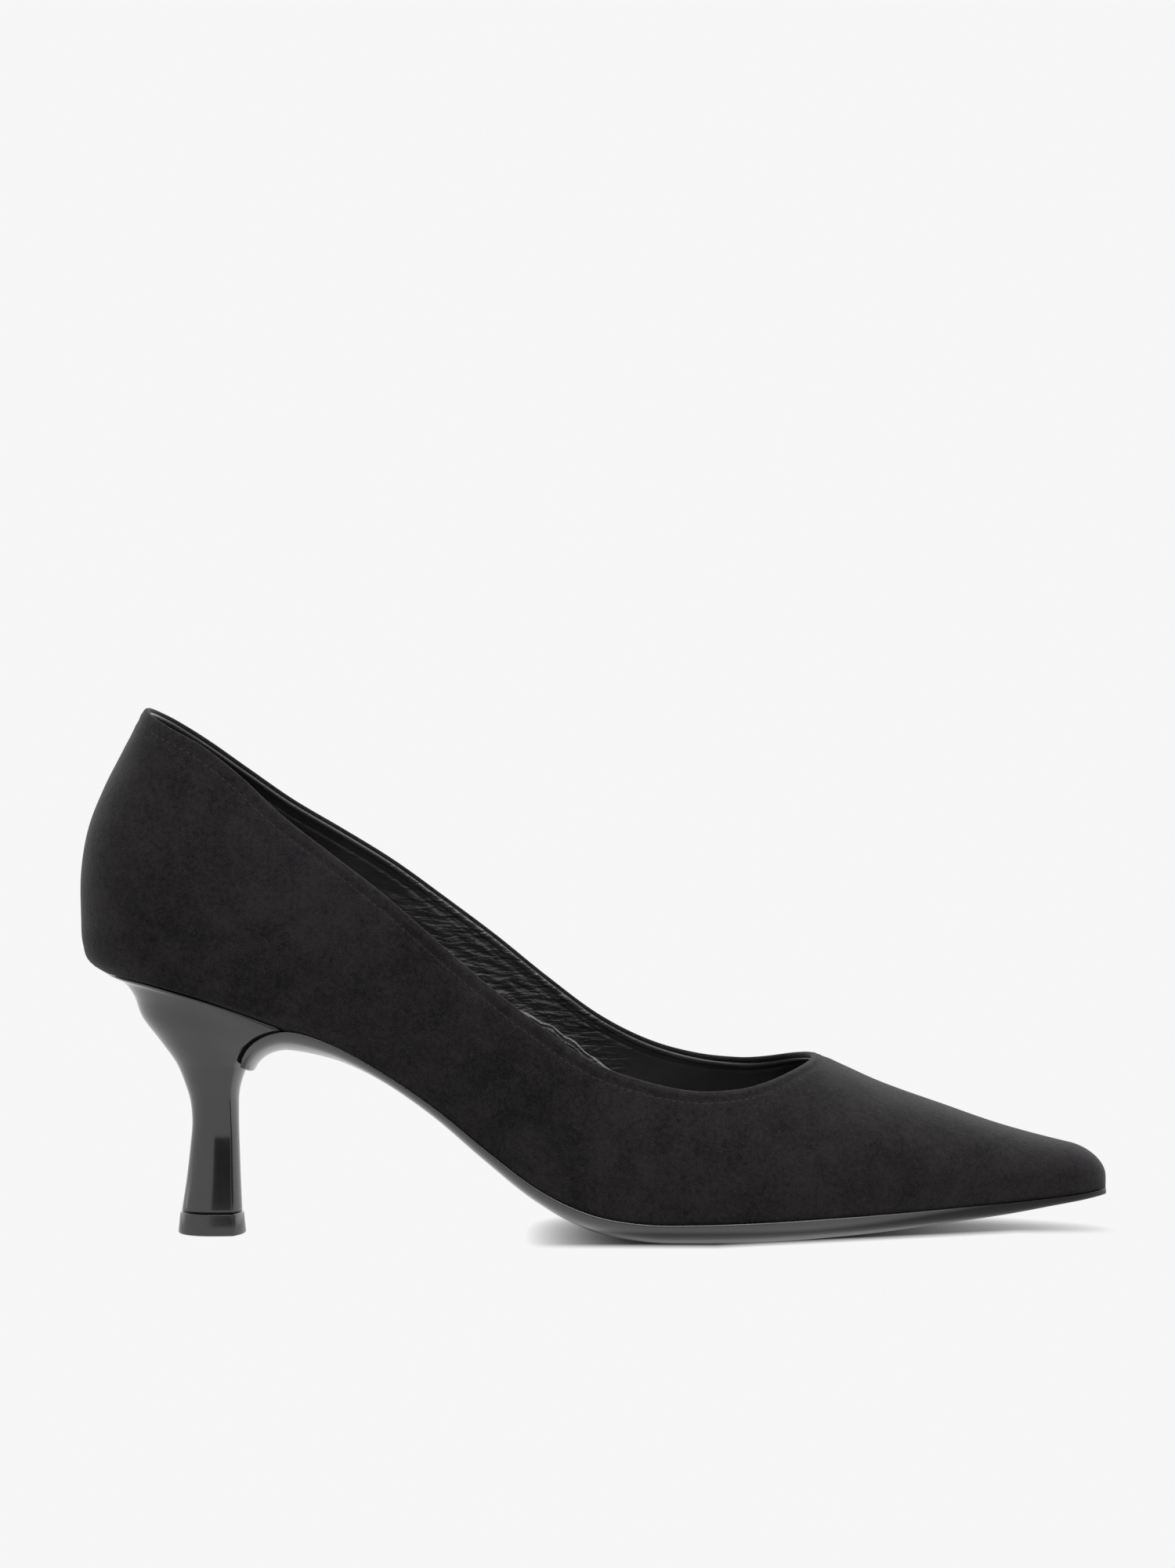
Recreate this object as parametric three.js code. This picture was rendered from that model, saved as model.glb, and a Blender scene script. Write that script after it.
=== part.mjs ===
// A right court shoe: pointed toe, low topline, flared heel, thin sole turned down the heel's front.
// Millimetres. +X points to the toe, +Y to the inner side of the foot, +Z up, the floor is z = 0.
// The whole shoe is worked out from a last: a row of cross-sections from the back seam to the toe,
// each one a pair of smooth curves from the feather edge, where the sole begins, up to the ridge.
import * as THREE from 'three';
import { mergeVertices } from 'three/addons/utils/BufferGeometryUtils.js';

// Overall sizes of the last
const LENGTH = 254.8;
const BALL_WIDTH = 78;
const INSTEP_HEIGHT = 62;
const HEEL_HEIGHT = 66;
const BACK_HEIGHT = 65;
const TOE_SPRING = 8;
const BOTTOM_CROWN = 5;
const BOTTOM_POWER = 3;

// Walls, layers and the clearance left between two pieces
const WALL = 1.6;
const LASTING_MARGIN = 5;
const INSOLE_THICKNESS = 2;
const OUTSOLE_THICKNESS = 3;
const SOLE_EDGE = 0.7;
const SOLE_ROUNDING = 0.1;
const TREAD_FLAT = 0.6;
const FIT = 0.3;
const BREAST_FIT = 0.45;

// Round ends of the plan, as shares of the length, and how full they are
const HEEL_ROUND = 0.095;
const TOE_ROUND = 0.036;
const HEEL_FULLNESS = 2.3;
const TOE_FULLNESS = 2.2;
const NOSE_FULLNESS = 2.2;
const NOSE_BLUNT = 0.3;

// The ball, where the forepart begins, as a share of the length
const BALL = 0.55;

// The topline's throat: where it ends along the shoe, and how long its rounded front is
const THROAT = 0.7125;
const THROAT_ROUND = 0.075;

// The back leans forward with height, and the lean fades out along the shoe
const LEAN_FADE = 0.35;

// The heel, its breast and its top piece
const SEAT_END = 0.195;
const SEAT_INSET = 1.2;
const SOLE_START = 0.215;
const STEM_LENGTH = 11.7;
const STEM_WIDTH = 10.8;
const TIP_LENGTH = 15.1;
const TIP_WIDTH = 13;
const TIP_FORWARD = 0.7;
const TOP_PIECE_HEIGHT = 5.4;
const TOP_PIECE_LIP = 0.4;
const TOP_PIECE_FLARE = 0.5;
const TOP_PIECE_BEVEL = 0.4;
const BREAST_FROM_BACK = 38.8;
const FLAP_END_HEIGHT = 42;
const FLAP_END_FORWARD = 2.6;
const FLAP_END_WIDTH = 21;
const FLAP_CROWN = 4.5;

// Shares that shape the flap's curve: how far it runs on along the bottom before it turns, how far
// forward its end leans, how high that lean starts, and how much of its crown is left at its end
const FLAP_RUN = 0.5;
const FLAP_LEAN = 0.3;
const FLAP_LEAN_START = 0.75;
const FLAP_END_CROWN = 0.35;

// The last's bottom. Heights are shares of: heel height (lift), toe spring (spring) and crown
// (crown). Widths are shares of the ball width, measured from the axis, and sole is a share of
// the outsole's thickness.
const UNDER_COLUMNS = ['along', 'lift', 'spring', 'crown', 'axis', 'latFoot', 'medFoot', 'sole'];
const UNDER_ROWS = [
  [0.00, 1.000, 0.00, 0.10, 0.000, 0.270, 0.270, 0.6],
  [0.05, 0.972, 0.00, 0.12, 0.000, 0.276, 0.276, 0.6],
  [0.10, 0.915, 0.00, 0.25, 0.000, 0.280, 0.280, 0.6],
  [0.15, 0.829, 0.00, 0.64, 0.000, 0.282, 0.280, 0.6],
  [0.20, 0.735, 0.00, 1.00, 0.000, 0.282, 0.276, 0.6],
  [0.25, 0.684, 0.00, 0.68, 0.000, 0.284, 0.268, 0.55],
  [0.30, 0.598, 0.00, 0.38, 0.000, 0.290, 0.258, 0.55],
  [0.35, 0.464, 0.00, 0.38, 0.000, 0.306, 0.252, 0.6],
  [0.40, 0.299, 0.00, 0.45, 0.000, 0.336, 0.264, 0.7],
  [0.45, 0.149, 0.00, 0.55, 0.000, 0.376, 0.298, 0.85],
  [0.50, 0.050, 0.00, 0.72, 0.002, 0.416, 0.344, 1.0],
  [0.55, 0.008, 0.00, 0.86, 0.004, 0.440, 0.390, 1.0],
  [0.60, 0.000, 0.00, 0.94, 0.008, 0.448, 0.422, 1.0],
  [0.66, 0.000, 0.02, 0.98, 0.014, 0.436, 0.436, 1.0],
  [0.72, 0.000, 0.12, 0.92, 0.022, 0.400, 0.420, 1.0],
  [0.78, 0.000, 0.28, 0.75, 0.034, 0.346, 0.374, 1.0],
  [0.84, 0.000, 0.49, 0.52, 0.050, 0.284, 0.310, 0.95],
  [0.90, 0.000, 0.68, 0.32, 0.064, 0.212, 0.230, 0.85],
  [0.95, 0.000, 0.83, 0.18, 0.078, 0.146, 0.158, 0.6],
  [1.00, 0.000, 1.00, 0.10, 0.090, 0.090, 0.094, 0.4],
];

// The arches over it. Widths are shares of the ball width again, lowUp and highUp are shares of
// the arch's rise, ridge is a share of the instep's height and the tops of the back height.
const ARCH_COLUMNS = [
  'along', 'latLow', 'latHigh', 'medLow', 'medHigh', 'lowUp', 'highUp', 'ridge', 'latTop', 'medTop',
];
const ARCH_ROWS = [
  [0.00, 0.350, 0.262, 0.350, 0.262, 0.25, 0.70, 1.50, 1.003, 1.003],
  [0.05, 0.362, 0.282, 0.360, 0.282, 0.25, 0.70, 1.49, 0.972, 0.964],
  [0.10, 0.370, 0.300, 0.366, 0.300, 0.25, 0.70, 1.49, 0.959, 0.936],
  [0.15, 0.374, 0.320, 0.366, 0.314, 0.25, 0.70, 1.49, 0.931, 0.913],
  [0.20, 0.376, 0.330, 0.362, 0.320, 0.25, 0.70, 1.48, 0.870, 0.885],
  [0.25, 0.378, 0.338, 0.356, 0.326, 0.25, 0.71, 1.43, 0.776, 0.823],
  [0.30, 0.384, 0.346, 0.352, 0.332, 0.26, 0.72, 1.39, 0.710, 0.786],
  [0.35, 0.396, 0.354, 0.354, 0.338, 0.27, 0.74, 1.36, 0.670, 0.774],
  [0.40, 0.422, 0.366, 0.368, 0.346, 0.28, 0.76, 1.34, 0.665, 0.787],
  [0.45, 0.458, 0.380, 0.396, 0.356, 0.30, 0.80, 1.29, 0.663, 0.771],
  [0.50, 0.500, 0.394, 0.440, 0.370, 0.32, 0.85, 1.18, 0.631, 0.717],
  [0.55, 0.532, 0.406, 0.486, 0.384, 0.34, 0.90, 1.03, 0.602, 0.655],
  [0.60, 0.544, 0.412, 0.522, 0.396, 0.35, 0.93, 0.88, 0.572, 0.609],
  [0.66, 0.530, 0.410, 0.534, 0.404, 0.36, 0.96, 0.742, 0.578, 0.594],
  [0.72, 0.488, 0.390, 0.512, 0.396, 0.36, 0.97, 0.656, 0.578, 0.590],
  [0.78, 0.426, 0.350, 0.458, 0.364, 0.37, 0.98, 0.526, 0.578, 0.590],
  [0.84, 0.354, 0.300, 0.384, 0.314, 0.38, 0.98, 0.408, 0.578, 0.590],
  [0.90, 0.278, 0.246, 0.300, 0.256, 0.40, 0.99, 0.296, 0.578, 0.590],
  [0.95, 0.192, 0.178, 0.206, 0.184, 0.42, 0.99, 0.221, 0.578, 0.590],
  [1.00, 0.122, 0.112, 0.128, 0.116, 0.45, 1.00, 0.150, 0.578, 0.590],
];

// The back seam seen from the side: inset from the rearmost point, both as shares of the back height.
const BACK_COLUMNS = ['up', 'inset'];
const BACK_ROWS = [
  [0.00, 0.070], [0.04, 0.026], [0.10, 0.006], [0.20, 0.000], [0.42, 0.004], [0.55, 0.030],
  [0.70, 0.090], [0.85, 0.167], [1.00, 0.246], [1.50, 0.460],
];

// The heel from its seat down. back and backUp place the section's rear: shares of the way from the
// seat's back to the stem's, and of the height from the tip. flap is the share of the flap's curve
// that the section's front has come down, and breastUp its share of the height from tip to flap end.
// narrow goes from the seat's width to the stem's, flare on to the tip's, shape to the stem's form.
const HEEL_COLUMNS = ['down', 'back', 'backUp', 'flap', 'breastUp', 'narrow', 'flare', 'shape'];
const HEEL_ROWS = [
  [0.00, 0.08, 0.985, 0.24, 1.000, 0.00, 0.00, 0.00],
  [0.08, 0.22, 0.960, 0.36, 1.000, 0.05, 0.00, 0.05],
  [0.16, 0.335, 0.905, 0.50, 1.000, 0.16, 0.00, 0.16],
  [0.25, 0.43, 0.813, 0.66, 1.000, 0.31, 0.00, 0.34],
  [0.34, 0.630, 0.716, 0.83, 1.000, 0.49, 0.00, 0.56],
  [0.43, 0.820, 0.619, 1.00, 1.000, 0.67, 0.00, 0.77],
  [0.52, 0.930, 0.522, 1.00, 0.885, 0.82, 0.00, 0.90],
  [0.60, 0.980, 0.458, 1.00, 0.768, 0.91, 0.00, 0.97],
  [0.70, 1.00, 0.361, 1.00, 0.590, 0.98, 0.00, 1.00],
  [0.80, 1.00, 0.264, 1.00, 0.432, 1.00, 0.20, 1.00],
  [0.90, 1.00, 0.134, 1.00, 0.219, 1.00, 0.54, 1.00],
  [1.00, 1.00, 0.000, 1.00, 0.000, 1.00, 1.00, 1.00],
];

const SIDES = { lat: -1, med: 1 };

// Two points closer than this are one; two stations closer than this share are one.
const SAME_POINT = 0.001;
const SAME_STATION = 0.004;
const TOPLINE_HALVINGS = 30;

// A point outside the feather edge counts as this share of the half width at most.
const WIDEST_SHARE = 1.2;

const mix = (a, b, t) => a + (b - a) * t;

// Smooth curve through the rows of a table: cubic pieces whose slopes come from the neighbours.
function lookUp(columns, rows, name, at) {
  const xColumn = 0;
  const column = columns.indexOf(name);
  const lastRow = rows.length - 1;
  const x = (i) => rows[i][xColumn];
  const y = (i) => rows[i][column];
  const rise = (i) => (y(i + 1) - y(i)) / (x(i + 1) - x(i));
  const slope = (i) => {
    if (i === 0) return rise(0);
    if (i === lastRow) return rise(lastRow - 1);
    const before = x(i) - x(i - 1);
    const after = x(i + 1) - x(i);
    return (rise(i - 1) * after + rise(i) * before) / (before + after);
  };
  let k = 0;
  while (k < lastRow - 1 && at > x(k + 1)) k += 1;
  const span = x(k + 1) - x(k);
  const t = Math.min(Math.max((at - x(k)) / span, 0), 1);
  const t2 = t * t;
  const t3 = t2 * t;
  return (2 * t3 - 3 * t2 + 1) * y(k) + (t3 - 2 * t2 + t) * span * slope(k)
    + (3 * t2 - 2 * t3) * y(k + 1) + (t3 - t2) * span * slope(k + 1);
}

const bezier = (a, b, c, d, t) => (
  a * (1 - t) ** 3 + 3 * b * t * (1 - t) ** 2 + 3 * c * t * t * (1 - t) + d * t ** 3
);

// Rises from 0 to 1 as a rounded corner does: a quarter of a superellipse.
function roundUp(t, power) {
  const u = Math.min(Math.max(t, 0), 1);
  return (1 - (1 - u) ** power) ** (1 / power);
}

const last = (name, s) => (
  UNDER_COLUMNS.includes(name)
    ? lookUp(UNDER_COLUMNS, UNDER_ROWS, name, s)
    : lookUp(ARCH_COLUMNS, ARCH_ROWS, name, s)
);

// How much of its full width the plan has at s, for an outline drawn `inset` inside the feather edge.
function planClose(s, inset) {
  const fromHeel = (s * LENGTH - inset) / (HEEL_ROUND * LENGTH - inset);
  const fromToe = ((1 - s) * LENGTH - inset) / (TOE_ROUND * LENGTH - inset);
  return roundUp(fromHeel, HEEL_FULLNESS) * roundUp(fromToe, TOE_FULLNESS);
}

function noseClose(s) {
  const t = (1 - s) / TOE_ROUND;
  return mix(NOSE_BLUNT, 1, roundUp(t, NOSE_FULLNESS));
}

// Distance along the shoe of a point at station s and height z over the floor.
function alongAt(s, z) {
  const up = (z - HEEL_HEIGHT) / BACK_HEIGHT;
  const lean = lookUp(BACK_COLUMNS, BACK_ROWS, 'inset', up) * BACK_HEIGHT;
  const fade = Math.max(0, 1 - s / LEAN_FADE) ** 2;
  return s * LENGTH + lean * fade;
}

// Height of the last's bottom along its middle.
function middleHeight(s) {
  const tread = OUTSOLE_THICKNESS + FIT - TREAD_FLAT;
  return tread + last('lift', s) * (HEEL_HEIGHT - tread) + last('spring', s) * TOE_SPRING;
}

const featherHeight = (s) => middleHeight(s) + last('crown', s) * BOTTOM_CROWN;

function ridgeHeight(s) {
  return middleHeight(s) + last('ridge', s) * INSTEP_HEIGHT * noseClose(s);
}

const axisAt = (s) => last('axis', s) * BALL_WIDTH;

// A point of the last's skin: r runs from 0 at the feather edge to 1 on the ridge.
function skinHeight(s, r) {
  const foot = featherHeight(s);
  const rise = ridgeHeight(s) - foot;
  return bezier(foot, foot + last('lowUp', s) * rise, foot + last('highUp', s) * rise, foot + rise, r);
}

function skin(side, s, r) {
  const z = skinHeight(s, r);
  const width = bezier(last(`${side}Foot`, s), last(`${side}Low`, s), last(`${side}High`, s), 0, r);
  const y = axisAt(s) + SIDES[side] * width * BALL_WIDTH * planClose(s, 0);
  return [alongAt(s, z), y, z];
}

// The share r at which the skin reaches the topline's height.
function toplineShare(side, s) {
  const target = middleHeight(s) + last(`${side}Top`, s) * BACK_HEIGHT;
  let low = 0;
  let high = 1;
  for (let step = 0; step < TOPLINE_HALVINGS; step += 1) {
    const middle = (low + high) / 2;
    if (skinHeight(s, middle) < target) low = middle;
    else high = middle;
  }
  const towardThroat = roundUp((THROAT - s) / THROAT_ROUND, 2);
  return 1 - (1 - low) * towardThroat;
}

// Unit normal of the bottom's middle line, seen from the side.
function bottomNormal(s) {
  const from = Math.max(s - SAME_STATION, 0);
  const to = Math.min(s + SAME_STATION, 1);
  const dx = alongAt(to, middleHeight(to)) - alongAt(from, middleHeight(from));
  const dz = middleHeight(to) - middleHeight(from);
  const size = Math.hypot(dx, dz);
  return [-dz / size, dx / size];
}

// A point of the last's bottom. q runs from -1 at the lateral edge to 1 at the medial edge of an
// outline drawn `inset` inside the feather edge, and the point is raised by `up` along the normal.
function bottom(s, q, inset, up) {
  const side = q < 0 ? 'lat' : 'med';
  const full = last(`${side}Foot`, s) * BALL_WIDTH;
  const half = (full - inset) * planClose(s, inset);
  const edge = Math.max(full * planClose(s, 0), SAME_POINT);
  const share = Math.min(Math.abs(q * half) / edge, WIDEST_SHARE);
  const z = middleHeight(s) + last('crown', s) * BOTTOM_CROWN * share ** BOTTOM_POWER;
  const [nx, nz] = bottomNormal(s);
  return [alongAt(s, middleHeight(s)) + nx * up, axisAt(s) + q * half, z + nz * up];
}

// Stations along the shoe, closer together round the heel, at the throat and round the toe.
const HEEL_STEPS = 8;
const QUARTER_STEPS = 17;
const THROAT_STEPS = 8;
const VAMP_STEPS = 11;
const TOE_STEPS = 7;

function stations(inset) {
  const list = [];
  const start = inset / LENGTH;
  const heelEnd = HEEL_ROUND;
  const throatStart = THROAT - THROAT_ROUND;
  const toeStart = 1 - TOE_ROUND;
  for (let i = 0; i < HEEL_STEPS; i += 1) {
    const angle = (i / HEEL_STEPS) * Math.PI / 2;
    list.push(mix(start, heelEnd, 1 - Math.cos(angle)));
  }
  for (let i = 0; i < QUARTER_STEPS; i += 1) list.push(mix(heelEnd, throatStart, i / QUARTER_STEPS));
  for (let i = 0; i < THROAT_STEPS; i += 1) {
    const angle = (i / THROAT_STEPS) * Math.PI / 2;
    list.push(mix(throatStart, THROAT, Math.sin(angle)));
  }
  for (let i = 0; i < VAMP_STEPS; i += 1) list.push(mix(THROAT, toeStart, i / VAMP_STEPS));
  for (let i = 0; i <= TOE_STEPS; i += 1) {
    const angle = (i / TOE_STEPS) * Math.PI / 2;
    list.push(mix(toeStart, 1 - start, Math.sin(angle)));
  }
  return list;
}

// Collects faces over shared points and turns them into a closed geometry.
class Shell {
  constructor() {
    this.points = [];
    this.faces = [];
  }

  add(point) {
    this.points.push(point);
    return this.points.length - 1;
  }

  row(points) {
    return points.map((point) => this.add(point));
  }

  // Faces between two rows of point numbers.
  strip(a, b) {
    for (let i = 0; i + 1 < a.length; i += 1) {
      this.faces.push([a[i], a[i + 1], b[i + 1]], [a[i], b[i + 1], b[i]]);
    }
  }

  loop(a, b) {
    this.strip([...a, a[0]], [...b, b[0]]);
  }

  fan(ring, centre) {
    ring.forEach((point, i) => this.faces.push([point, ring[(i + 1) % ring.length], centre]));
  }

  // Joins points that lie together and drops the faces that this empties.
  merged() {
    const geometry = new THREE.BufferGeometry();
    geometry.setAttribute('position', new THREE.Float32BufferAttribute(this.points.flat(), 3));
    geometry.setIndex(this.faces.flat());
    const joined = mergeVertices(geometry, SAME_POINT);
    const index = Array.from(joined.index.array);
    const kept = [];
    for (let i = 0; i < index.length; i += 3) {
      const [a, b, c] = index.slice(i, i + 3);
      if (a !== b && b !== c && c !== a) kept.push(a, b, c);
    }
    joined.setIndex(kept);
    return joined;
  }
}

// Gives an open sheet a wall: a second sheet inside it, joined to the first along every edge.
function thicken(sheet, wall) {
  sheet.computeVertexNormals();
  const position = sheet.getAttribute('position');
  const normal = sheet.getAttribute('normal');
  const count = position.count;
  const points = [];
  const point = new THREE.Vector3();
  const offset = new THREE.Vector3();
  for (const depth of [0, wall]) {
    for (let i = 0; i < count; i += 1) {
      point.fromBufferAttribute(position, i);
      offset.fromBufferAttribute(normal, i);
      point.addScaledVector(offset, -depth);
      points.push([point.x, point.y, point.z]);
    }
  }
  const outside = Array.from(sheet.index.array);
  const faces = [];
  const directed = new Set();
  const edgesOf = (a, b, c) => [[a, b], [b, c], [c, a]];
  for (let i = 0; i < outside.length; i += 3) {
    const [a, b, c] = outside.slice(i, i + 3);
    faces.push([a, b, c], [a + count, c + count, b + count]);
    edgesOf(a, b, c).forEach(([from, to]) => directed.add(`${from} ${to}`));
  }
  for (const edge of directed) {
    const [from, to] = edge.split(' ').map(Number);
    if (!directed.has(`${to} ${from}`)) {
      faces.push([to, from, from + count], [to, from + count, to + count]);
    }
  }
  const shell = new Shell();
  shell.points = points;
  shell.faces = faces;
  return shell.merged();
}

// The upper: both sides of the skin, turned under the foot by the lasting margin.
const SKIN_ROWS = 11;

function upperGeometry() {
  const feather = stations(0);
  const margin = stations(LASTING_MARGIN);
  const sheet = new Shell();
  for (const side of ['lat', 'med']) {
    const columns = feather.map((s, i) => {
      const top = s < THROAT ? toplineShare(side, s) : 1;
      const points = [bottom(margin[i], SIDES[side], LASTING_MARGIN, 0)];
      for (let j = 0; j <= SKIN_ROWS; j += 1) points.push(skin(side, s, (j / SKIN_ROWS) * top));
      points[1] = bottom(s, SIDES[side], 0, 0);
      return sheet.row(points);
    });
    for (let i = 0; i + 1 < columns.length; i += 1) {
      if (side === 'lat') sheet.strip(columns[i + 1], columns[i]);
      else sheet.strip(columns[i], columns[i + 1]);
    }
  }
  return thicken(sheet.merged(), WALL);
}

// A flat layer that follows the last's bottom, from one station to another. Its columns stand
// closer together toward the edges, where the bottom curves most.
const ACROSS_STEPS = 10;

function across() {
  const spread = (j) => Math.sin(((2 * j) / ACROSS_STEPS - 1) * (Math.PI / 2));
  return Array.from({ length: ACROSS_STEPS + 1 }, (unused, j) => spread(j));
}

function slab(rowsBelow, rowsAbove) {
  const shell = new Shell();
  const below = rowsBelow.map((row) => shell.row(row));
  const above = rowsAbove.map((row) => shell.row(row));
  for (let i = 0; i + 1 < above.length; i += 1) {
    shell.strip(above[i + 1], above[i]);
    shell.strip(below[i], below[i + 1]);
  }
  const around = (rows) => {
    const end = rows.length - 1;
    const left = rows.map((row) => row[0]);
    const right = rows.map((row) => row[row.length - 1]).reverse();
    return [...left, ...rows[end].slice(1, -1), ...right, ...rows[0].slice(1, -1).reverse()];
  };
  shell.loop(around(below), around(above));
  return shell.merged();
}

function insoleGeometry() {
  const inset = WALL + 2 * FIT;
  const rows = (up) => stations(inset).map((s) => across().map((q) => bottom(s, q, inset, up)));
  return slab(rows(WALL + 2 * FIT), rows(WALL + 2 * FIT + INSOLE_THICKNESS));
}

// The middle line of the sole's flap, against the heel's breast: t runs from the place where the
// sole leaves the upper to the flap's lower end.
function flapCurve(t) {
  const [nx, nz] = bottomNormal(SOLE_START);
  const [startX, , startZ] = bottom(SOLE_START, 0, 0, -FIT);
  const endX = BREAST_FROM_BACK + FLAP_END_FORWARD;
  const endZ = FLAP_END_HEIGHT;
  const run = FLAP_RUN * (startX - endX);
  const x = bezier(startX, startX - nz * run, endX + FLAP_LEAN * run, endX, t);
  const z = bezier(startZ, startZ + nx * run, mix(endZ, startZ, FLAP_LEAN_START), endZ, t);
  return [x, z];
}

const FLAP_NORMAL_STEP = 0.01;

// Unit normal of the flap's curve, pointing at the heel.
function flapNormal(t) {
  const [fromX, fromZ] = flapCurve(Math.max(t - FLAP_NORMAL_STEP, 0));
  const [toX, toZ] = flapCurve(Math.min(t + FLAP_NORMAL_STEP, 1));
  const size = Math.hypot(toX - fromX, toZ - fromZ);
  return [(toZ - fromZ) / size, (fromX - toX) / size];
}

// The outsole: along the last's bottom, then down the heel's breast as a flap.
const FLAP_STEPS = 12;

function soleThickness(s, q) {
  return OUTSOLE_THICKNESS * last('sole', s) * (1 - SOLE_ROUNDING * q ** 4);
}

// The sole's edge stands out past the feather edge in the forepart, and is flush in the waist.
function soleRow(s, under) {
  const edge = SOLE_EDGE * Math.min(1, (s - SOLE_START) / (BALL - SOLE_START));
  return across().map((q) => {
    const depth = FIT + (under ? soleThickness(s, q) : 0);
    const [x, y, z] = bottom(s, q, 0, -depth);
    return [x, y + q * edge, Math.max(z, 0)];
  });
}

// How far the flap's sides stand back from its middle: the breast bows forward.
function flapCrown(t) {
  const start = last('crown', SOLE_START) * BOTTOM_CROWN;
  const full = mix(start, FLAP_CROWN, Math.min(1, 2 * t));
  return mix(full, FLAP_END_CROWN * FLAP_CROWN, t * t);
}

function flapHalf(side, t) {
  return mix(last(`${side}Foot`, SOLE_START) * BALL_WIDTH, FLAP_END_WIDTH / 2, t * t);
}

function flapRow(t, under) {
  const [x, z] = flapCurve(t);
  const [nx, nz] = flapNormal(t);
  return across().map((q) => {
    const depth = under ? soleThickness(SOLE_START, q) : 0;
    const raise = flapCrown(t) * Math.abs(q) ** BOTTOM_POWER - depth;
    return [x + nx * raise, q * flapHalf(q < 0 ? 'lat' : 'med', t), z + nz * raise];
  });
}

function outsoleGeometry() {
  const flap = Array.from({ length: FLAP_STEPS }, (unused, i) => 1 - i / FLAP_STEPS);
  const along = [SOLE_START, ...stations(0).filter((s) => s > SOLE_START + SAME_STATION)];
  const rows = (under) => [
    ...flap.map((t) => flapRow(t, under)),
    ...along.map((s) => soleRow(s, under)),
  ];
  return slab(rows(true), rows(false));
}

// The heel: its seat follows the last's bottom, and its sections run down to the tip.
const HEEL_LEVELS = 22;
const STEM_BACK_POWER = 2.1;
const STEM_SIDE_START = 0.6;
const CORNER_ALONG = 0.85;
const CORNER_ACROSS = 0.94;

// How evenly the seat's points spread round the stem, how soon the front leaves the flap below its
// end, how fast the breast loses the flap's crown on the way down, and how near the front it lies
const RIM_SPREAD = 0.75;
const BREAST_SETTLE = 4;
const CROWN_FADE = 3;
const CROWN_NEAR_FRONT = 4;

const heelAt = (name, down) => Math.min(lookUp(HEEL_COLUMNS, HEEL_ROWS, name, down), 1);

// The stem's section in shares of its length and half width: a round back, a nearly straight side
// up to the breast's corner, and a breast that bows forward.
function stemSide(share) {
  if (share < STEM_SIDE_START) {
    const angle = (share / STEM_SIDE_START) * (Math.PI / 2);
    const power = 2 / STEM_BACK_POWER;
    return [0.5 - 0.5 * Math.cos(angle) ** power, Math.sin(angle) ** power];
  }
  const u = (share - STEM_SIDE_START) / (1 - STEM_SIDE_START);
  return [mix(0.5, CORNER_ALONG, u), mix(1, CORNER_ACROSS, u * u)];
}

function stemFront(share) {
  return [mix(CORNER_ALONG, 1, 1 - share * share), CORNER_ACROSS * share];
}

function seatStations() {
  return [...stations(SEAT_INSET).filter((s) => s < SEAT_END - SAME_STATION), SEAT_END];
}

function seatRows() {
  return seatStations().map((s) => across().map((q) => bottom(s, q, SEAT_INSET, -FIT)));
}

// The seat's rim: up the lateral side, over the breast and back along the medial side. Each entry
// holds the seat's point and the place that it takes round the stem.
function seatRim() {
  const rows = seatRows();
  const end = rows.length - 1;
  const width = rows[0].length - 1;
  const place = (i) => stemSide((i / end) ** RIM_SPREAD);
  const rim = [];
  rows.forEach((row, i) => rim.push({ point: row[0], stem: [place(i)[0], -place(i)[1]] }));
  for (let j = 1; j < width; j += 1) {
    rim.push({ point: rows[end][j], stem: stemFront(across()[j]) });
  }
  for (let i = end; i > 0; i -= 1) rim.push({ point: rows[i][width], stem: place(i) });
  return rim;
}

// Where a section's back and front lie, seen from the side, and its half width.
function heelSpan(down) {
  const tipTop = TOP_PIECE_HEIGHT + FIT;
  const [seatBackX, , seatBackZ] = bottom(SEAT_INSET / LENGTH, 0, SEAT_INSET, -FIT);
  const flare = heelAt('flare', down);
  const stemBack = BREAST_FROM_BACK - STEM_LENGTH;
  const tipBack = BREAST_FROM_BACK + TIP_FORWARD - TIP_LENGTH;
  const t = heelAt('flap', down);
  const [flapX, flapZ] = flapCurve(t);
  const [nx, nz] = flapNormal(t);
  const breastUp = heelAt('breastUp', down);
  const settle = Math.min(1, BREAST_SETTLE * (1 - breastUp));
  const seatHalf = last('latFoot', SEAT_END) * BALL_WIDTH - SEAT_INSET;
  const stemFrontX = BREAST_FROM_BACK + TIP_FORWARD * flare;
  return {
    backX: mix(mix(seatBackX, stemBack, heelAt('back', down)), tipBack, flare),
    backZ: mix(tipTop, seatBackZ, heelAt('backUp', down)),
    frontX: mix(flapX + nx * BREAST_FIT, stemFrontX, settle * (2 - settle)),
    frontZ: mix(tipTop, flapZ + nz * BREAST_FIT, breastUp),
    half: mix(mix(seatHalf, STEM_WIDTH / 2, heelAt('narrow', down)), TIP_WIDTH / 2, flare),
    seatHalf,
    normal: [nx, nz],
    crown: flapCrown(t) * breastUp ** CROWN_FADE,
    flapHalf: { lat: flapHalf('lat', t), med: flapHalf('med', t) },
  };
}

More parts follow.
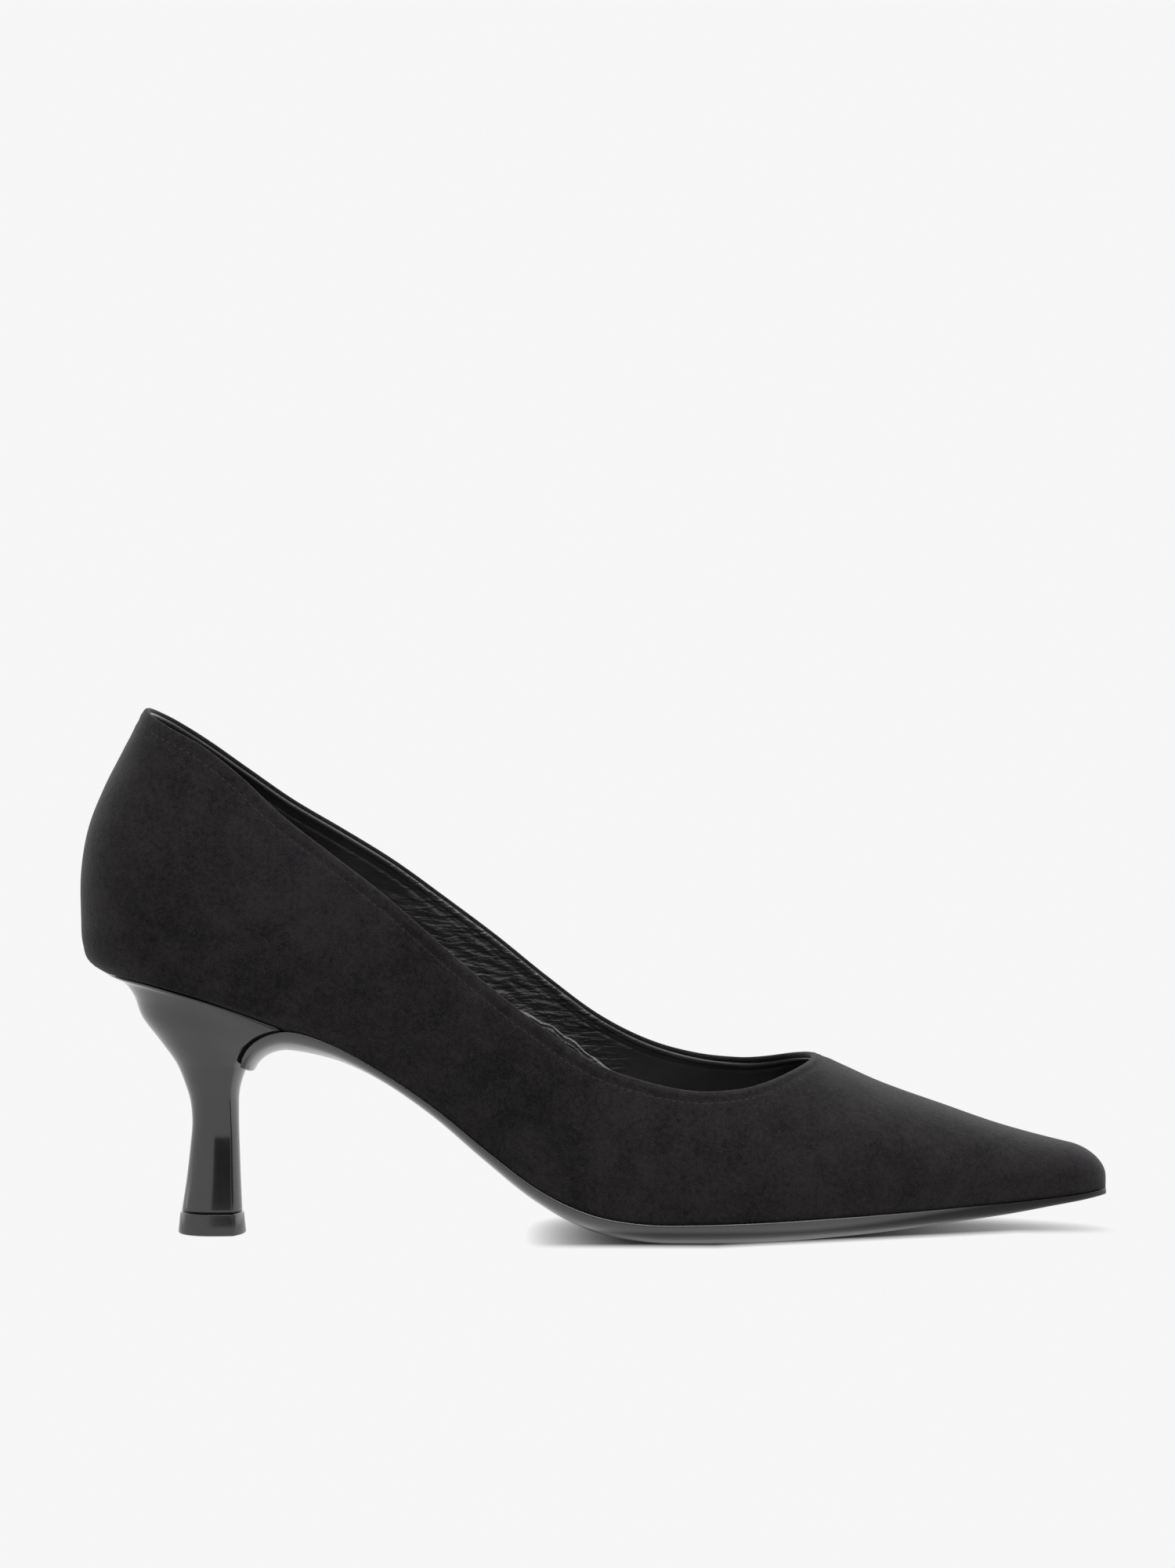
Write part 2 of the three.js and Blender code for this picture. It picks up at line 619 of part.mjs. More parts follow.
function heelSection(down) {
  const rim = seatRim();
  const [seatBackX, , seatBackZ] = rim[0].point;
  const [seatFrontX, , seatFrontZ] = bottom(SEAT_END, 0, SEAT_INSET, -FIT);
  const shape = heelAt('shape', down);
  const span = heelSpan(down);
  return rim.map(({ point, stem }) => {
    const seatAlong = (point[0] - seatBackX) / (seatFrontX - seatBackX);
    const alongShare = mix(seatAlong, stem[0], shape);
    const y = mix(point[1] / span.seatHalf, stem[1], shape) * span.half;
    const bow = point[2] - mix(seatBackZ, seatFrontZ, seatAlong);
    const flapSide = span.flapHalf[y < 0 ? 'lat' : 'med'];
    const beside = Math.min(Math.abs(y) / flapSide, WIDEST_SHARE) ** BOTTOM_POWER;
    const nearFront = alongShare ** CROWN_NEAR_FRONT;
    const retreat = span.crown * beside * nearFront;
    const z = mix(span.backZ, span.frontZ, alongShare) + bow * (1 - shape) * (1 - nearFront);
    const x = mix(span.backX, span.frontX, alongShare);
    return [x + span.normal[0] * retreat, y, z + span.normal[1] * retreat];
  });
}

function heelGeometry() {
  const shell = new Shell();
  const seat = seatRows().map((row) => shell.row(row));
  for (let i = 0; i + 1 < seat.length; i += 1) shell.strip(seat[i + 1], seat[i]);
  let above = shell.row(seatRim().map(({ point }) => point));
  for (let level = 0; level <= HEEL_LEVELS; level += 1) {
    const below = shell.row(heelSection(level / HEEL_LEVELS));
    shell.loop(below, above);
    above = below;
  }
  const foot = BREAST_FROM_BACK + TIP_FORWARD - TIP_LENGTH / 2;
  shell.fan([...above].reverse(), shell.add([foot, 0, TOP_PIECE_HEIGHT + FIT]));
  return shell.merged();
}

// The top piece: the heel's foot with a small lip round it and a bevel at the floor.
function topPieceGeometry() {
  const centre = BREAST_FROM_BACK + TIP_FORWARD - TIP_LENGTH / 2;
  const ring = (grow, z) => heelSection(1).map(([x, y]) => [
    centre + (x - centre) * (1 + (2 * grow) / TIP_LENGTH),
    y * (1 + (2 * grow) / TIP_WIDTH),
    z,
  ]);
  const shell = new Shell();
  const top = shell.row(ring(TOP_PIECE_LIP, TOP_PIECE_HEIGHT));
  const low = shell.row(ring(TOP_PIECE_LIP + TOP_PIECE_FLARE, TOP_PIECE_BEVEL));
  const foot = shell.row(ring(TOP_PIECE_LIP + TOP_PIECE_FLARE - TOP_PIECE_BEVEL, 0));
  shell.fan(top, shell.add([centre, 0, TOP_PIECE_HEIGHT]));
  shell.loop(low, top);
  shell.loop(foot, low);
  shell.fan([...foot].reverse(), shell.add([centre, 0, 0]));
  return shell.merged();
}

const BLACK_SUEDE = 0x1c1b1c;
const BLACK_LEATHER = 0x2a2724;
const BLACK_SOLING = 0x2b2b2c;
const BLACK_GLOSS = 0x141415;
const BLACK_RUBBER = 0x242424;

const group = new THREE.Group();

function addMesh(name, geometry, color, roughness) {
  const material = new THREE.MeshStandardMaterial({ color, roughness, metalness: 0 });
  const mesh = new THREE.Mesh(geometry, material);
  mesh.name = name;
  group.add(mesh);
}

addMesh('upper', upperGeometry(), BLACK_SUEDE, 0.95);
addMesh('insole', insoleGeometry(), BLACK_LEATHER, 0.6);
addMesh('outsole', outsoleGeometry(), BLACK_SOLING, 0.5);
addMesh('heel', heelGeometry(), BLACK_GLOSS, 0.2);
addMesh('top_piece', topPieceGeometry(), BLACK_RUBBER, 0.6);

// The origin is the middle of the shoe's box, on the floor.
const middle = new THREE.Box3().setFromObject(group).getCenter(new THREE.Vector3());
group.position.set(-middle.x, -middle.y, 0);

export default group;
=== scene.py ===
"""A right court shoe of black suede, standing empty on a pale floor in soft studio light.

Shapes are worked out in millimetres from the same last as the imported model: stations run from the
back seam (0) to the toe (1), shares of the skin from the feather edge (0) up to the ridge (1).
place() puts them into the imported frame, in metres.
"""
import math

import bmesh
import bpy
import numpy as np
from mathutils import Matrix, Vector


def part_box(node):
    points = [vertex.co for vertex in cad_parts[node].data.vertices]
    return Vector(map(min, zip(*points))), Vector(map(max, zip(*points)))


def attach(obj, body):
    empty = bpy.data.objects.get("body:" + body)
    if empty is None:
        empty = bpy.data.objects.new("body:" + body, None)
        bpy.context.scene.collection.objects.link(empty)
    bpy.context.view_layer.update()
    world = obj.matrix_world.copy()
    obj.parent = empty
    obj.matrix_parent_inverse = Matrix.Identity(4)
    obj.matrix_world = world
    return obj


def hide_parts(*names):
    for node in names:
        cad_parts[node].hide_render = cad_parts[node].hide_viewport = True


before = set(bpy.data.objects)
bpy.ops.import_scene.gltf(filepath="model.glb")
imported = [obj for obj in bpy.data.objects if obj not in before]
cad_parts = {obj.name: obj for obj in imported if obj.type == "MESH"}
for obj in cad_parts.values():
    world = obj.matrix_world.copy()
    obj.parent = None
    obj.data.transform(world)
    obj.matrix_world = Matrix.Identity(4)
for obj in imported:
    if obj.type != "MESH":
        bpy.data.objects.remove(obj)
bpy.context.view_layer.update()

# The last's driving sizes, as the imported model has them
LENGTH = 254.8
BALL_WIDTH = 78.0
INSTEP_HEIGHT = 62.0
HEEL_HEIGHT = 66.0
BACK_HEIGHT = 65.0
TOE_SPRING = 8.0
BOTTOM_CROWN = 5.0
BOTTOM_POWER = 3.0
WALL = 1.6
LASTING_MARGIN = 5.0
INSOLE_THICKNESS = 2.0
OUTSOLE_THICKNESS = 3.0
SOLE_EDGE = 0.7
SOLE_ROUNDING = 0.1
TREAD_FLAT = 0.6
FIT = 0.3
BREAST_FIT = 0.2
SOLE_FIT = 0.12
HEEL_ROUND = 0.095
TOE_ROUND = 0.036
HEEL_FULLNESS = 2.3
TOE_FULLNESS = 2.2
NOSE_FULLNESS = 2.2
NOSE_BLUNT = 0.3
BALL = 0.55
THROAT = 0.7125
THROAT_ROUND = 0.075
LEAN_FADE = 0.35

# The heel, its breast, the sole's flap over it and the top piece
SEAT_END = 0.195
SEAT_INSET = 1.2
SOLE_START = 0.215
STEM_LENGTH = 11.7
STEM_WIDTH = 10.8
TIP_LENGTH = 15.1
TIP_WIDTH = 13.0
TIP_FORWARD = 0.7
TOP_PIECE_HEIGHT = 5.4
TOP_PIECE_LIP = 0.4
TOP_PIECE_FLARE = 0.5
TOP_PIECE_BEVEL = 0.4
BREAST_FROM_BACK = 38.8
FLAP_END_HEIGHT = 42.0
FLAP_END_FORWARD = 2.6
FLAP_END_WIDTH = 21.0
FLAP_CROWN = 4.5
FLAP_RUN = 0.5
FLAP_LEAN = 0.3
FLAP_LEAN_START = 0.75
FLAP_END_CROWN = 0.35
FLAP_NORMAL_STEP = 0.01

SAME_POINT = 0.001
SAME_STATION = 0.004
TOPLINE_HALVINGS = 40
WIDEST_SHARE = 1.2

# The last's bottom. Heights are shares of: heel height (lift), toe spring (spring) and crown
# (crown). Widths are shares of the ball width, measured from the axis, and sole is a share of
# the outsole's thickness.
UNDER_COLUMNS = ["along", "lift", "spring", "crown", "axis", "latFoot", "medFoot", "sole"]
UNDER_ROWS = [
    [0.00, 1.000, 0.00, 0.10, 0.000, 0.270, 0.270, 0.6],
    [0.05, 0.972, 0.00, 0.12, 0.000, 0.276, 0.276, 0.6],
    [0.10, 0.915, 0.00, 0.25, 0.000, 0.280, 0.280, 0.6],
    [0.15, 0.829, 0.00, 0.64, 0.000, 0.282, 0.280, 0.6],
    [0.20, 0.735, 0.00, 1.00, 0.000, 0.282, 0.276, 0.6],
    [0.25, 0.684, 0.00, 0.68, 0.000, 0.284, 0.268, 0.55],
    [0.30, 0.598, 0.00, 0.38, 0.000, 0.290, 0.258, 0.55],
    [0.35, 0.464, 0.00, 0.38, 0.000, 0.306, 0.252, 0.6],
    [0.40, 0.299, 0.00, 0.45, 0.000, 0.336, 0.264, 0.7],
    [0.45, 0.149, 0.00, 0.55, 0.000, 0.376, 0.298, 0.85],
    [0.50, 0.050, 0.00, 0.72, 0.002, 0.416, 0.344, 1.0],
    [0.55, 0.008, 0.00, 0.86, 0.004, 0.440, 0.390, 1.0],
    [0.60, 0.000, 0.00, 0.94, 0.008, 0.448, 0.422, 1.0],
    [0.66, 0.000, 0.02, 0.98, 0.014, 0.436, 0.436, 1.0],
    [0.72, 0.000, 0.12, 0.92, 0.022, 0.400, 0.420, 1.0],
    [0.78, 0.000, 0.28, 0.75, 0.034, 0.346, 0.374, 1.0],
    [0.84, 0.000, 0.49, 0.52, 0.050, 0.284, 0.310, 0.95],
    [0.90, 0.000, 0.68, 0.32, 0.064, 0.212, 0.230, 0.85],
    [0.95, 0.000, 0.83, 0.18, 0.078, 0.146, 0.158, 0.6],
    [1.00, 0.000, 1.00, 0.10, 0.090, 0.090, 0.094, 0.4],
]

# The arches over it. Widths are shares of the ball width again, lowUp and highUp are shares of
# the arch's rise, ridge is a share of the instep's height and the tops of the back height.
ARCH_COLUMNS = [
    "along", "latLow", "latHigh", "medLow", "medHigh", "lowUp", "highUp", "ridge", "latTop", "medTop",
]
ARCH_ROWS = [
    [0.00, 0.350, 0.262, 0.350, 0.262, 0.25, 0.70, 1.50, 1.003, 1.003],
    [0.05, 0.362, 0.282, 0.360, 0.282, 0.25, 0.70, 1.49, 0.972, 0.964],
    [0.10, 0.370, 0.300, 0.366, 0.300, 0.25, 0.70, 1.49, 0.959, 0.936],
    [0.15, 0.374, 0.320, 0.366, 0.314, 0.25, 0.70, 1.49, 0.931, 0.913],
    [0.20, 0.376, 0.330, 0.362, 0.320, 0.25, 0.70, 1.48, 0.870, 0.885],
    [0.25, 0.378, 0.338, 0.356, 0.326, 0.25, 0.71, 1.43, 0.776, 0.823],
    [0.30, 0.384, 0.346, 0.352, 0.332, 0.26, 0.72, 1.39, 0.710, 0.786],
    [0.35, 0.396, 0.354, 0.354, 0.338, 0.27, 0.74, 1.36, 0.670, 0.774],
    [0.40, 0.422, 0.366, 0.368, 0.346, 0.28, 0.76, 1.34, 0.665, 0.787],
    [0.45, 0.458, 0.380, 0.396, 0.356, 0.30, 0.80, 1.29, 0.663, 0.771],
    [0.50, 0.500, 0.394, 0.440, 0.370, 0.32, 0.85, 1.18, 0.631, 0.717],
    [0.55, 0.532, 0.406, 0.486, 0.384, 0.34, 0.90, 1.03, 0.602, 0.655],
    [0.60, 0.544, 0.412, 0.522, 0.396, 0.35, 0.93, 0.88, 0.572, 0.609],
    [0.66, 0.530, 0.410, 0.534, 0.404, 0.36, 0.96, 0.742, 0.578, 0.594],
    [0.72, 0.488, 0.390, 0.512, 0.396, 0.36, 0.97, 0.656, 0.578, 0.590],
    [0.78, 0.426, 0.350, 0.458, 0.364, 0.37, 0.98, 0.526, 0.578, 0.590],
    [0.84, 0.354, 0.300, 0.384, 0.314, 0.38, 0.98, 0.408, 0.578, 0.590],
    [0.90, 0.278, 0.246, 0.300, 0.256, 0.40, 0.99, 0.296, 0.578, 0.590],
    [0.95, 0.192, 0.178, 0.206, 0.184, 0.42, 0.99, 0.221, 0.578, 0.590],
    [1.00, 0.122, 0.112, 0.128, 0.116, 0.45, 1.00, 0.150, 0.578, 0.590],
]

# The back seam from the side: inset from the rearmost point, both as shares of the back height.
BACK_COLUMNS = ["up", "inset"]
BACK_ROWS = [
    [0.00, 0.070], [0.04, 0.026], [0.10, 0.006], [0.20, 0.000], [0.42, 0.004], [0.55, 0.030],
    [0.70, 0.090], [0.85, 0.167], [1.00, 0.246], [1.50, 0.460],
]

# The heel from its seat down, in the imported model's shares
HEEL_COLUMNS = ["down", "back", "backUp", "flap", "breastUp", "narrow", "flare", "shape"]
HEEL_ROWS = [
    [0.00, 0.08, 0.985, 0.24, 1.000, 0.00, 0.00, 0.00],
    [0.08, 0.22, 0.960, 0.36, 1.000, 0.05, 0.00, 0.05],
    [0.16, 0.335, 0.905, 0.50, 1.000, 0.16, 0.00, 0.16],
    [0.25, 0.43, 0.813, 0.66, 1.000, 0.31, 0.00, 0.34],
    [0.34, 0.630, 0.716, 0.83, 1.000, 0.49, 0.00, 0.56],
    [0.43, 0.820, 0.619, 1.00, 1.000, 0.67, 0.00, 0.77],
    [0.52, 0.930, 0.522, 1.00, 0.885, 0.82, 0.00, 0.90],
    [0.60, 0.980, 0.458, 1.00, 0.768, 0.91, 0.00, 0.97],
    [0.70, 1.00, 0.361, 1.00, 0.590, 0.98, 0.00, 1.00],
    [0.80, 1.00, 0.264, 1.00, 0.432, 1.00, 0.20, 1.00],
    [0.90, 1.00, 0.134, 1.00, 0.219, 1.00, 0.54, 1.00],
    [1.00, 1.00, 0.000, 1.00, 0.000, 1.00, 1.00, 1.00],
]
STEM_BACK_POWER = 2.1
STEM_SIDE_START = 0.6
CORNER_ALONG = 0.85
CORNER_ACROSS = 0.94
RIM_SPREAD = 0.75
BREAST_SETTLE = 4.0
CROWN_FADE = 3.0
CROWN_NEAR_FRONT = 4.0

SIDES = {"lat": -1.0, "med": 1.0}

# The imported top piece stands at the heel's tip, which ties the last's millimetres to the frame.
MM = 0.001
TIP_MIDDLE = BREAST_FROM_BACK + TIP_FORWARD - TIP_LENGTH / 2
TIP_LOW, TIP_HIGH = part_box("top_piece")
ORIGIN = (TIP_LOW + TIP_HIGH) / 2 - Vector((TIP_MIDDLE * MM, 0, 0))


def place(points):
    """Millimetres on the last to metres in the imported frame: scaled, then shifted in plan."""
    return np.asarray(points, float) * MM + np.array([ORIGIN.x, ORIGIN.y, 0.0])


def mix(a, b, t):
    return a + (b - a) * t


def smooth_step(low, high, at):
    """Rises from 0 to 1 between two places, with level ends: 3t^2 - 2t^3."""
    t = np.clip((at - low) / (high - low), 0, 1)
    return t * t * (3 - 2 * t)


def bump(at, centre, width):
    """A bell of height 1: exp of minus the square of the distance over the width."""
    return np.exp(-(((at - centre) / width) ** 2))


def look_up(columns, rows, name, at):
    """Smooth curve through a table: cubic pieces whose slopes are the neighbours' weighted rises."""
    table = np.array(rows)
    x = table[:, 0]
    y = table[:, columns.index(name)]
    at = np.asarray(at, float)
    gap = np.diff(x)
    rise = np.diff(y) / gap
    inner = (rise[:-1] * gap[1:] + rise[1:] * gap[:-1]) / (gap[:-1] + gap[1:])
    slope = np.concatenate([rise[:1], inner, rise[-1:]])
    k = np.clip(np.searchsorted(x, at, side="left") - 1, 0, len(x) - 2)
    span = gap[k]
    t = np.clip((at - x[k]) / span, 0, 1)
    t2 = t * t
    t3 = t2 * t
    start = (2 * t3 - 3 * t2 + 1) * y[k] + (t3 - 2 * t2 + t) * span * slope[k]
    return start + (3 * t2 - 2 * t3) * y[k + 1] + (t3 - t2) * span * slope[k + 1]


def bezier(a, b, c, d, t):
    """Cubic Bezier curve through a and d, pulled to b and c."""
    return a * (1 - t) ** 3 + 3 * b * t * (1 - t) ** 2 + 3 * c * t * t * (1 - t) + d * t**3


def round_up(t, power):
    """Rises from 0 to 1 as a rounded corner: a quarter of a superellipse."""
    u = np.clip(t, 0, 1)
    return (1 - (1 - u) ** power) ** (1 / power)


def last(name, s):
    if name in UNDER_COLUMNS:
        return look_up(UNDER_COLUMNS, UNDER_ROWS, name, s)
    return look_up(ARCH_COLUMNS, ARCH_ROWS, name, s)


def plan_close(s, inset):
    """Share of the full width that an outline drawn inside the feather edge has at s."""
    from_heel = (s * LENGTH - inset) / (HEEL_ROUND * LENGTH - inset)
    from_toe = ((1 - s) * LENGTH - inset) / (TOE_ROUND * LENGTH - inset)
    return round_up(from_heel, HEEL_FULLNESS) * round_up(from_toe, TOE_FULLNESS)


def along_at(s, z):
    """Distance along the shoe at station s and height z: the back's lean, faded along the shoe."""
    lean = look_up(BACK_COLUMNS, BACK_ROWS, "inset", (z - HEEL_HEIGHT) / BACK_HEIGHT) * BACK_HEIGHT
    return s * LENGTH + lean * np.maximum(0, 1 - s / LEAN_FADE) ** 2


def middle_height(s):
    """Height of the last's bottom along its middle: the tread, the heel's lift and the toe spring."""
    tread = OUTSOLE_THICKNESS + FIT - TREAD_FLAT
    return tread + last("lift", s) * (HEEL_HEIGHT - tread) + last("spring", s) * TOE_SPRING


def feather_height(s):
    return middle_height(s) + last("crown", s) * BOTTOM_CROWN


def ridge_height(s):
    """Height of the ridge: the instep's share, cut down round the nose."""
    nose = mix(NOSE_BLUNT, 1, round_up((1 - s) / TOE_ROUND, NOSE_FULLNESS))
    return middle_height(s) + last("ridge", s) * INSTEP_HEIGHT * nose


def axis_at(s):
    return last("axis", s) * BALL_WIDTH


def skin_height(s, r):
    foot = feather_height(s)
    rise = ridge_height(s) - foot
    return bezier(foot, foot + last("lowUp", s) * rise, foot + last("highUp", s) * rise, foot + rise, r)


def skin(side, s, r):
    """The last's skin on one side: a Bezier arch from the feather edge (r = 0) to the ridge (1)."""
    z = skin_height(s, r)
    width = bezier(last(side + "Foot", s), last(side + "Low", s), last(side + "High", s), 0.0, r)
    y = axis_at(s) + SIDES[side] * width * BALL_WIDTH * plan_close(s, 0)
    return np.stack(np.broadcast_arrays(along_at(s, z), y, z), axis=-1)


def topline_share(side, s, drop, throat):
    """Share r where the skin reaches the topline, `drop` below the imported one, by halving."""
    target = middle_height(s) + last(side + "Top", s) * BACK_HEIGHT - drop
    low = np.zeros_like(s)
    high = np.ones_like(s)
    for _ in range(TOPLINE_HALVINGS):
        middle = (low + high) / 2
        below = skin_height(s, middle) < target
        low = np.where(below, middle, low)
        high = np.where(below, high, middle)
    return 1 - (1 - low) * round_up((throat - s) / THROAT_ROUND, 2)


def bottom_normal(s):
    """Unit normal of the bottom's middle line, seen from the side, from points each way along it."""
    before = np.maximum(s - SAME_STATION, 0)
    after = np.minimum(s + SAME_STATION, 1)
    dx = along_at(after, middle_height(after)) - along_at(before, middle_height(before))
    dz = middle_height(after) - middle_height(before)
    size = np.hypot(dx, dz)
    return -dz / size, dx / size


def bottom(s, q, inset, up):
    """The last's bottom: q from -1 (lateral) to 1 (medial) inside the feather edge, raised by up."""
    full = np.where(q < 0, last("latFoot", s), last("medFoot", s)) * BALL_WIDTH
    half = (full - inset) * plan_close(s, inset)
    edge = np.maximum(full * plan_close(s, 0), SAME_POINT)
    share = np.minimum(np.abs(q * half) / edge, WIDEST_SHARE)
    z = middle_height(s) + last("crown", s) * BOTTOM_CROWN * share**BOTTOM_POWER
    nx, nz = bottom_normal(s)
    along = along_at(s, middle_height(s)) + nx * up
    return np.stack(np.broadcast_arrays(along, axis_at(s) + q * half, z + nz * up), axis=-1)


def stations(inset, heel, quarter, rounded, vamp, toe, throat=THROAT):
    """Stations closer together round the heel, at the throat and round the toe."""
    start = inset / LENGTH
    throat_start = throat - THROAT_ROUND
    toe_start = 1 - TOE_ROUND
    turn = lambda count: np.arange(count) / count * math.pi / 2
    return np.concatenate([
        mix(start, HEEL_ROUND, 1 - np.cos(turn(heel))),
        mix(HEEL_ROUND, throat_start, np.arange(quarter) / quarter),
        mix(throat_start, throat, np.sin(turn(rounded))),
        mix(throat, toe_start, np.arange(vamp) / vamp),
        mix(toe_start, 1 - start, np.sin(np.arange(toe + 1) / toe * math.pi / 2)),
    ])


def grid_faces(rows, columns, first=0, close_rows=False, close_columns=False):
    """Quads between neighbours of a grid of point numbers, row by row, wrapping where asked."""
    numbers = first + np.arange(rows * columns).reshape(rows, columns)
    if close_rows:
        numbers = np.concatenate([numbers, numbers[:1]])
    if close_columns:
        numbers = np.concatenate([numbers, numbers[:, :1]], axis=1)
    a = numbers[:-1, :-1]
    b = numbers[1:, :-1]
    c = numbers[1:, 1:]
    d = numbers[:-1, 1:]
    return np.stack([a, b, c, d], axis=-1).reshape(-1, 4)


def make_piece(name, points, faces, material, replaced=(), joined=0.00002):
    """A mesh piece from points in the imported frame: doubles merged, normals outwards, shaded smooth."""
    mesh = bpy.data.meshes.new(name)
    mesh.from_pydata(np.asarray(points).tolist(), [], [list(f) for f in faces])
    work = bmesh.new()
    work.from_mesh(mesh)
    bmesh.ops.remove_doubles(work, verts=work.verts, dist=joined)
    bmesh.ops.dissolve_degenerate(work, edges=work.edges, dist=joined / 4)
    bmesh.ops.recalc_face_normals(work, faces=work.faces)
    for face in work.faces:
        face.smooth = True
    work.to_mesh(mesh)
    work.free()
    mesh.materials.append(material)
    piece = bpy.data.objects.new(name, mesh)
    bpy.context.scene.collection.objects.link(piece)
    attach(piece, "root")
    if replaced:
        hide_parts(*replaced)
    return piece


# Shader maths as expressions

class Value:
    """An output of a shader node. Sums, products and powers with it add Math nodes to its tree."""

    def __init__(self, tree, socket):
        self.tree = tree
        self.socket = socket

    def maths(self, operation, *terms):
        node = self.tree.nodes.new("ShaderNodeMath")
        node.operation = operation
        for slot_number, term in enumerate(terms):
            if isinstance(term, Value):
                self.tree.links.new(term.socket, node.inputs[slot_number])
            else:
                node.inputs[slot_number].default_value = term
        return Value(self.tree, node.outputs[0])

    def __add__(self, other):
        return self.maths("ADD", self, other)

    def __sub__(self, other):
        return self.maths("SUBTRACT", self, other)

    def __rsub__(self, other):
        return self.maths("SUBTRACT", other, self)

    def __mul__(self, other):
        return self.maths("MULTIPLY", self, other)

    def __pow__(self, other):
        return self.maths("POWER", self, other)

    def clamped(self):
        return self.maths("MINIMUM", self.maths("MAXIMUM", self, 0.0), 1.0)

    __radd__ = __add__
    __rmul__ = __mul__


class Finish:
    """A material under construction: its nodes, its Object coordinates and its shader."""

    def __init__(self, name):
        self.material = bpy.data.materials.new(name)
        self.material.use_nodes = True
        self.tree = self.material.node_tree
        self.tree.nodes.clear()
        self.shader = self.tree.nodes.new("ShaderNodeBsdfPrincipled")
        output = self.tree.nodes.new("ShaderNodeOutputMaterial")
        self.tree.links.new(self.shader.outputs[0], output.inputs["Surface"])
        self.place = self.node("ShaderNodeTexCoord", output="Object")

    def node(self, kind, settings=None, inputs=None, output=0):
        """Any node but Math: settings are set first, then input sockets get values or links."""
        node = self.tree.nodes.new(kind)
        for key, value in (settings or {}).items():
            if key == "stops":
                self.set_stops(node.color_ramp, value)
            else:
                setattr(node, key, value)
        for key, value in (inputs or {}).items():
            if isinstance(value, Value):
                self.tree.links.new(value.socket, node.inputs[key])
            else:
                node.inputs[key].default_value = value
        return Value(self.tree, node.outputs[output])

    @staticmethod
    def set_stops(ramp, stops):
        while len(ramp.elements) < len(stops):
            ramp.elements.new(0.5)
        for element, (position, grey) in zip(ramp.elements, stops):
            element.position = position
            element.color = (grey, grey, grey, 1)

    def set(self, **inputs):
        """Sets the shader's sockets; underscores in a name stand for spaces."""
        for key, value in inputs.items():
            socket = self.shader.inputs[key.replace("_", " ")]
            if isinstance(value, Value):
                self.tree.links.new(value.socket, socket)
            else:
                socket.default_value = value

    def noise(self, scale, detail=2.0, roughness=0.5, stretch=(1, 1, 1), distortion=0.0):
        """Noise on the object's coordinates, `scale` features to the metre, stretched per axis."""
        mapped = self.node("ShaderNodeMapping", inputs={"Vector": self.place, "Scale": stretch})
        return self.node("ShaderNodeTexNoise", inputs={
            "Vector": mapped, "Scale": scale, "Detail": detail, "Roughness": roughness,
            "Distortion": distortion,
        })

    def cells(self, scale, feature="F1", stretch=(1, 1, 1)):
        mapped = self.node("ShaderNodeMapping", inputs={"Vector": self.place, "Scale": stretch})
        settings = {"feature": feature}
        return self.node("ShaderNodeTexVoronoi", settings, {"Vector": mapped, "Scale": scale})

    def blend(self, factor, dark, light):
        """Colour between two, each three numbers."""
        return self.node("ShaderNodeMix", {"data_type": "RGBA"}, {
            0: factor, 6: (*dark, 1), 7: (*light, 1),
        }, output=2)

    def relief(self, height, distance, strength=1.0, under=None):
        inputs = {"Height": height, "Distance": distance, "Strength": strength}
        if under is not None:
            inputs["Normal"] = under
        return self.node("ShaderNodeBump", inputs=inputs)


def suede_finish():
    """Napped black suede: short fibres that lie in patches, darker where the nap is brushed away."""
    finish = Finish("black_suede")
    patches = finish.noise(150.0, 4.0, 0.6)
    brushed = finish.noise(28.0, 3.0, 0.55, distortion=0.6)
    mottle = finish.noise(800.0, 3.0, 0.7)
    fibres = finish.noise(3200.0, 2.0, 0.7)
    shade = patches * 0.2 + brushed * 0.22 + mottle * 0.26 + fibres * 0.32
    tone = finish.node("ShaderNodeMapRange", inputs={
        0: shade, 1: 0.41, 2: 0.59, 3: 0.0, 4: 1.0,
    })
    nap = finish.relief(fibres, 0.00012, 0.6)
    coarse = finish.relief(mottle, 0.0003, 0.45, under=nap)
    finish.set(
        Base_Color=finish.blend(tone, (0.0049, 0.0043, 0.0048), (0.0200, 0.0179, 0.0191)),
        Roughness=1.0, Normal=coarse,
        Specular_IOR_Level=0.12, Sheen_Weight=0.13, Sheen_Roughness=0.4,
        Sheen_Tint=(0.94, 0.95, 1.0, 1),
    )
    return finish.material


def leather_finish(name, creased):
    """Smooth black lining leather, satin: a pebble grain and, where creased, fine level folds. Its colour
    is dimmed toward the back as painted shade.
    """
    finish = Finish(name)
    grain = finish.cells(1900.0, "SMOOTH_F1")
    cloud = finish.noise(90.0, 3.0)
    creases = finish.noise(760.0, 2.0, 0.55, stretch=(0.28, 0.5, 1.0), distortion=0.4)
    axes = finish.node("ShaderNodeSeparateXYZ", inputs={0: finish.place})
    from_waist = axes + 0.022
    waist = finish.node("ShaderNodeMapRange", {"interpolation_type": "SMOOTHSTEP"}, {
        0: from_waist.maths("ABSOLUTE", from_waist), 1: 0.014, 2: 0.036, 3: 1.0, 4: 0.12,
    })
    # Painted shade: the colour's lighter share falls to a tenth toward the back, inside the heel
    painted_shade_ramp = finish.node("ShaderNodeMapRange", {"interpolation_type": "SMOOTHSTEP"}, {
        0: axes, 1: -0.078, 2: -0.042, 3: 0.1, 4: 1.0,
    })
    bumps = finish.relief(grain, 0.00006, 0.4)
    folds = finish.relief(creases * waist, 0.0012, 1.0, under=bumps) if creased else bumps
    finish.set(
        Base_Color=finish.blend(cloud * painted_shade_ramp, (0.006, 0.006, 0.0065), (0.052, 0.052, 0.0562)),
        Roughness=(cloud * 0.15 + 0.33), Normal=folds,
        Specular_IOR_Level=0.6,
    )
    return finish.material
